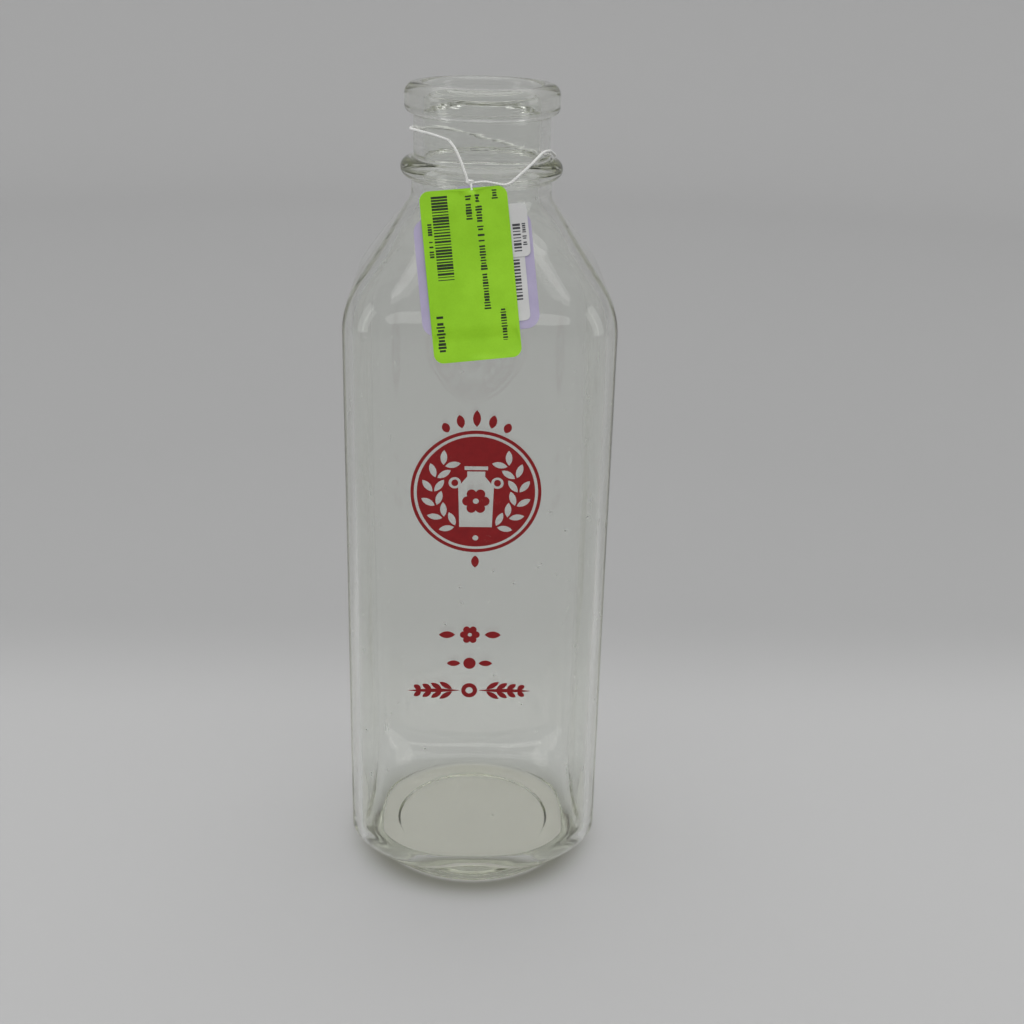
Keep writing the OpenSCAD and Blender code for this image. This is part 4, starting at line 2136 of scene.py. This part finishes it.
@dataclass
class Studio:
    """A round paper sweep, soft lamps and the camera."""

    floor_r: float = 1300.0
    sides: int = 96
    bend_r: float = 500.0
    wall_h: float = 1500.0
    camera_mm: Point3 = (-4.26, -445.22, 306.14)
    yaw_deg: float = 2.07
    pitch_deg: float = 22.25
    roll_deg: float = 1.41
    lens_mm: float = 50.43
    foot_gap: float = 0.2
    sky: float = 0.93
    sky_in_glass: float = 0.45
    light_bounces: int = 64

    def sweep(self) -> None:
        """Lay a floor that bends up into a wall all round."""
        profile = [(r, 0.0) for r in (60, 150, 300, 600, 950)]
        profile += arc(self.floor_r, self.bend_r, self.bend_r, -90, 0, 14)
        profile.append((self.floor_r + self.bend_r, self.wall_h))
        count = self.sides
        points = [[0.0, 0.0, 0.0]]
        for r, z in profile:
            for i in range(count):
                a = math.tau * i / count
                points.append([r * math.cos(a), r * math.sin(a), z])
        faces = [[0, 1 + i, 1 + (i + 1) % count] for i in range(count)]
        for k in range(len(profile) - 1):
            a, b = 1 + k * count, 1 + (k + 1) * count
            for i in range(count):
                j = (i + 1) % count
                faces.append([a + i, b + i, b + j, a + j])
        sweep = mesh_object("backdrop_sweep", np.array(points) - [0, 0, self.foot_gap], faces)
        sweep.data.materials.append(BackdropPaper().material())

    def lamp(
        self,
        name: str,
        place: Point3,
        aim: Point3,
        size: Point2,
        watts: float,
        mirrored: bool = True,
    ) -> None:
        """Hang a soft rectangular lamp.

        Args:
            name: its name.
            place: where it hangs, in millimetres.
            aim: what it points at.
            size: its width and height.
            watts: its power.
            mirrored: whether the glass shows its reflection.
        """
        light = bpy.data.lights.new(name, "AREA")
        light.shape = "RECTANGLE"
        light.size, light.size_y = size[0] * MM, size[1] * MM
        light.energy = watts
        lamp = bpy.data.objects.new(name, light)
        lamp.visible_glossy = mirrored
        bpy.context.scene.collection.objects.link(lamp)
        lamp.location = Vector(place) * MM
        lamp.rotation_euler = (Vector(place) - Vector(aim)).to_track_quat("Z", "Y").to_euler()

    def world(self) -> None:
        """Fill the room with plain soft light, which the glass shows and bends as a dimmer one."""
        world = bpy.data.worlds.new("soft_room")
        bpy.context.scene.world = world
        world.use_nodes = True
        world.node_tree.nodes.clear()
        tree = world.node_tree
        path = add_node(tree, "ShaderNodeLightPath")
        seen = add_node(
            tree,
            "ShaderNodeMath",
            settings={"operation": "MAXIMUM"},
            inputs={0: path.outputs["Is Glossy Ray"], 1: path.outputs["Is Transmission Ray"]},
        )
        strength = add_node(
            tree,
            "ShaderNodeMapRange",
            inputs={"Value": seen.outputs[0], "To Min": self.sky, "To Max": self.sky_in_glass},
        )
        light = add_node(
            tree,
            "ShaderNodeBackground",
            inputs={"Color": linear("#FFFFFF"), "Strength": strength.outputs[0]},
        )
        add_node(tree, "ShaderNodeOutputWorld", inputs={"Surface": light.outputs[0]})

    def camera(self) -> None:
        """Set up the camera at its place, turned by yaw, pitch and roll."""
        lens = bpy.data.cameras.new("studio_camera")
        lens.lens = self.lens_mm
        lens.sensor_width = 36.0
        lens.sensor_fit = "HORIZONTAL"
        lens.clip_start = 0.01
        lens.clip_end = 20.0
        camera = bpy.data.objects.new("studio_camera", lens)
        bpy.context.scene.collection.objects.link(camera)
        yaw, pitch, roll = (math.radians(d) for d in (self.yaw_deg, self.pitch_deg, self.roll_deg))
        level_share = math.cos(pitch)
        ahead = Vector((math.sin(yaw) * level_share, math.cos(yaw) * level_share, -math.sin(pitch)))
        level = Vector((math.cos(yaw), -math.sin(yaw), 0))
        over = level.cross(ahead)
        right = math.cos(roll) * level + math.sin(roll) * over
        up = math.cos(roll) * over - math.sin(roll) * level
        turn = Matrix((right, up, -ahead)).transposed().to_4x4()
        camera.matrix_world = Matrix.Translation(Vector(self.camera_mm) * MM) @ turn
        bpy.context.scene.camera = camera

    def build(self) -> None:
        """Set the stage."""
        scene = bpy.context.scene
        scene.view_settings.view_transform = "Standard"
        scene.cycles.max_bounces = self.light_bounces
        scene.cycles.transmission_bounces = self.light_bounces
        scene.cycles.glossy_bounces = self.light_bounces
        self.camera()
        self.sweep()
        self.world()
        middle = (0, 0, 150)
        self.lamp("top_softbox", (0, -100, 2200), (0, 0, 0), (2000, 2000), 14.0)
        self.lamp("front_softbox", (-170, -1740, 860), middle, (1500, 1000), 8.6, mirrored=False)
        self.lamp("left_softbox", (-900, -250, 500), middle, (300, 700), 0.9)
        self.lamp("right_softbox", (900, -200, 500), middle, (300, 700), 0.9)


# ------------------------------------------------------------------------------------- main


def main() -> None:
    """Build the bottle, its print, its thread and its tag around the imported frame."""
    logging.basicConfig(level=logging.INFO, format="%(name)s %(message)s", stream=sys.stdout)
    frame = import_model()
    Studio().build()
    bottle = GlassBottle()
    pivot = next(j for j in frame["joints"] if j["name"] == "tag_flip")["pos_m"]
    tag = HangTag(bottle, Vector(pivot) / MM)
    TagThread().build(tag)
    bottle.build()
    EnamelPrint(bottle).build(frame)
    tag.build()
    bpy.context.view_layer.update()


if __name__ == "__main__":
    main()
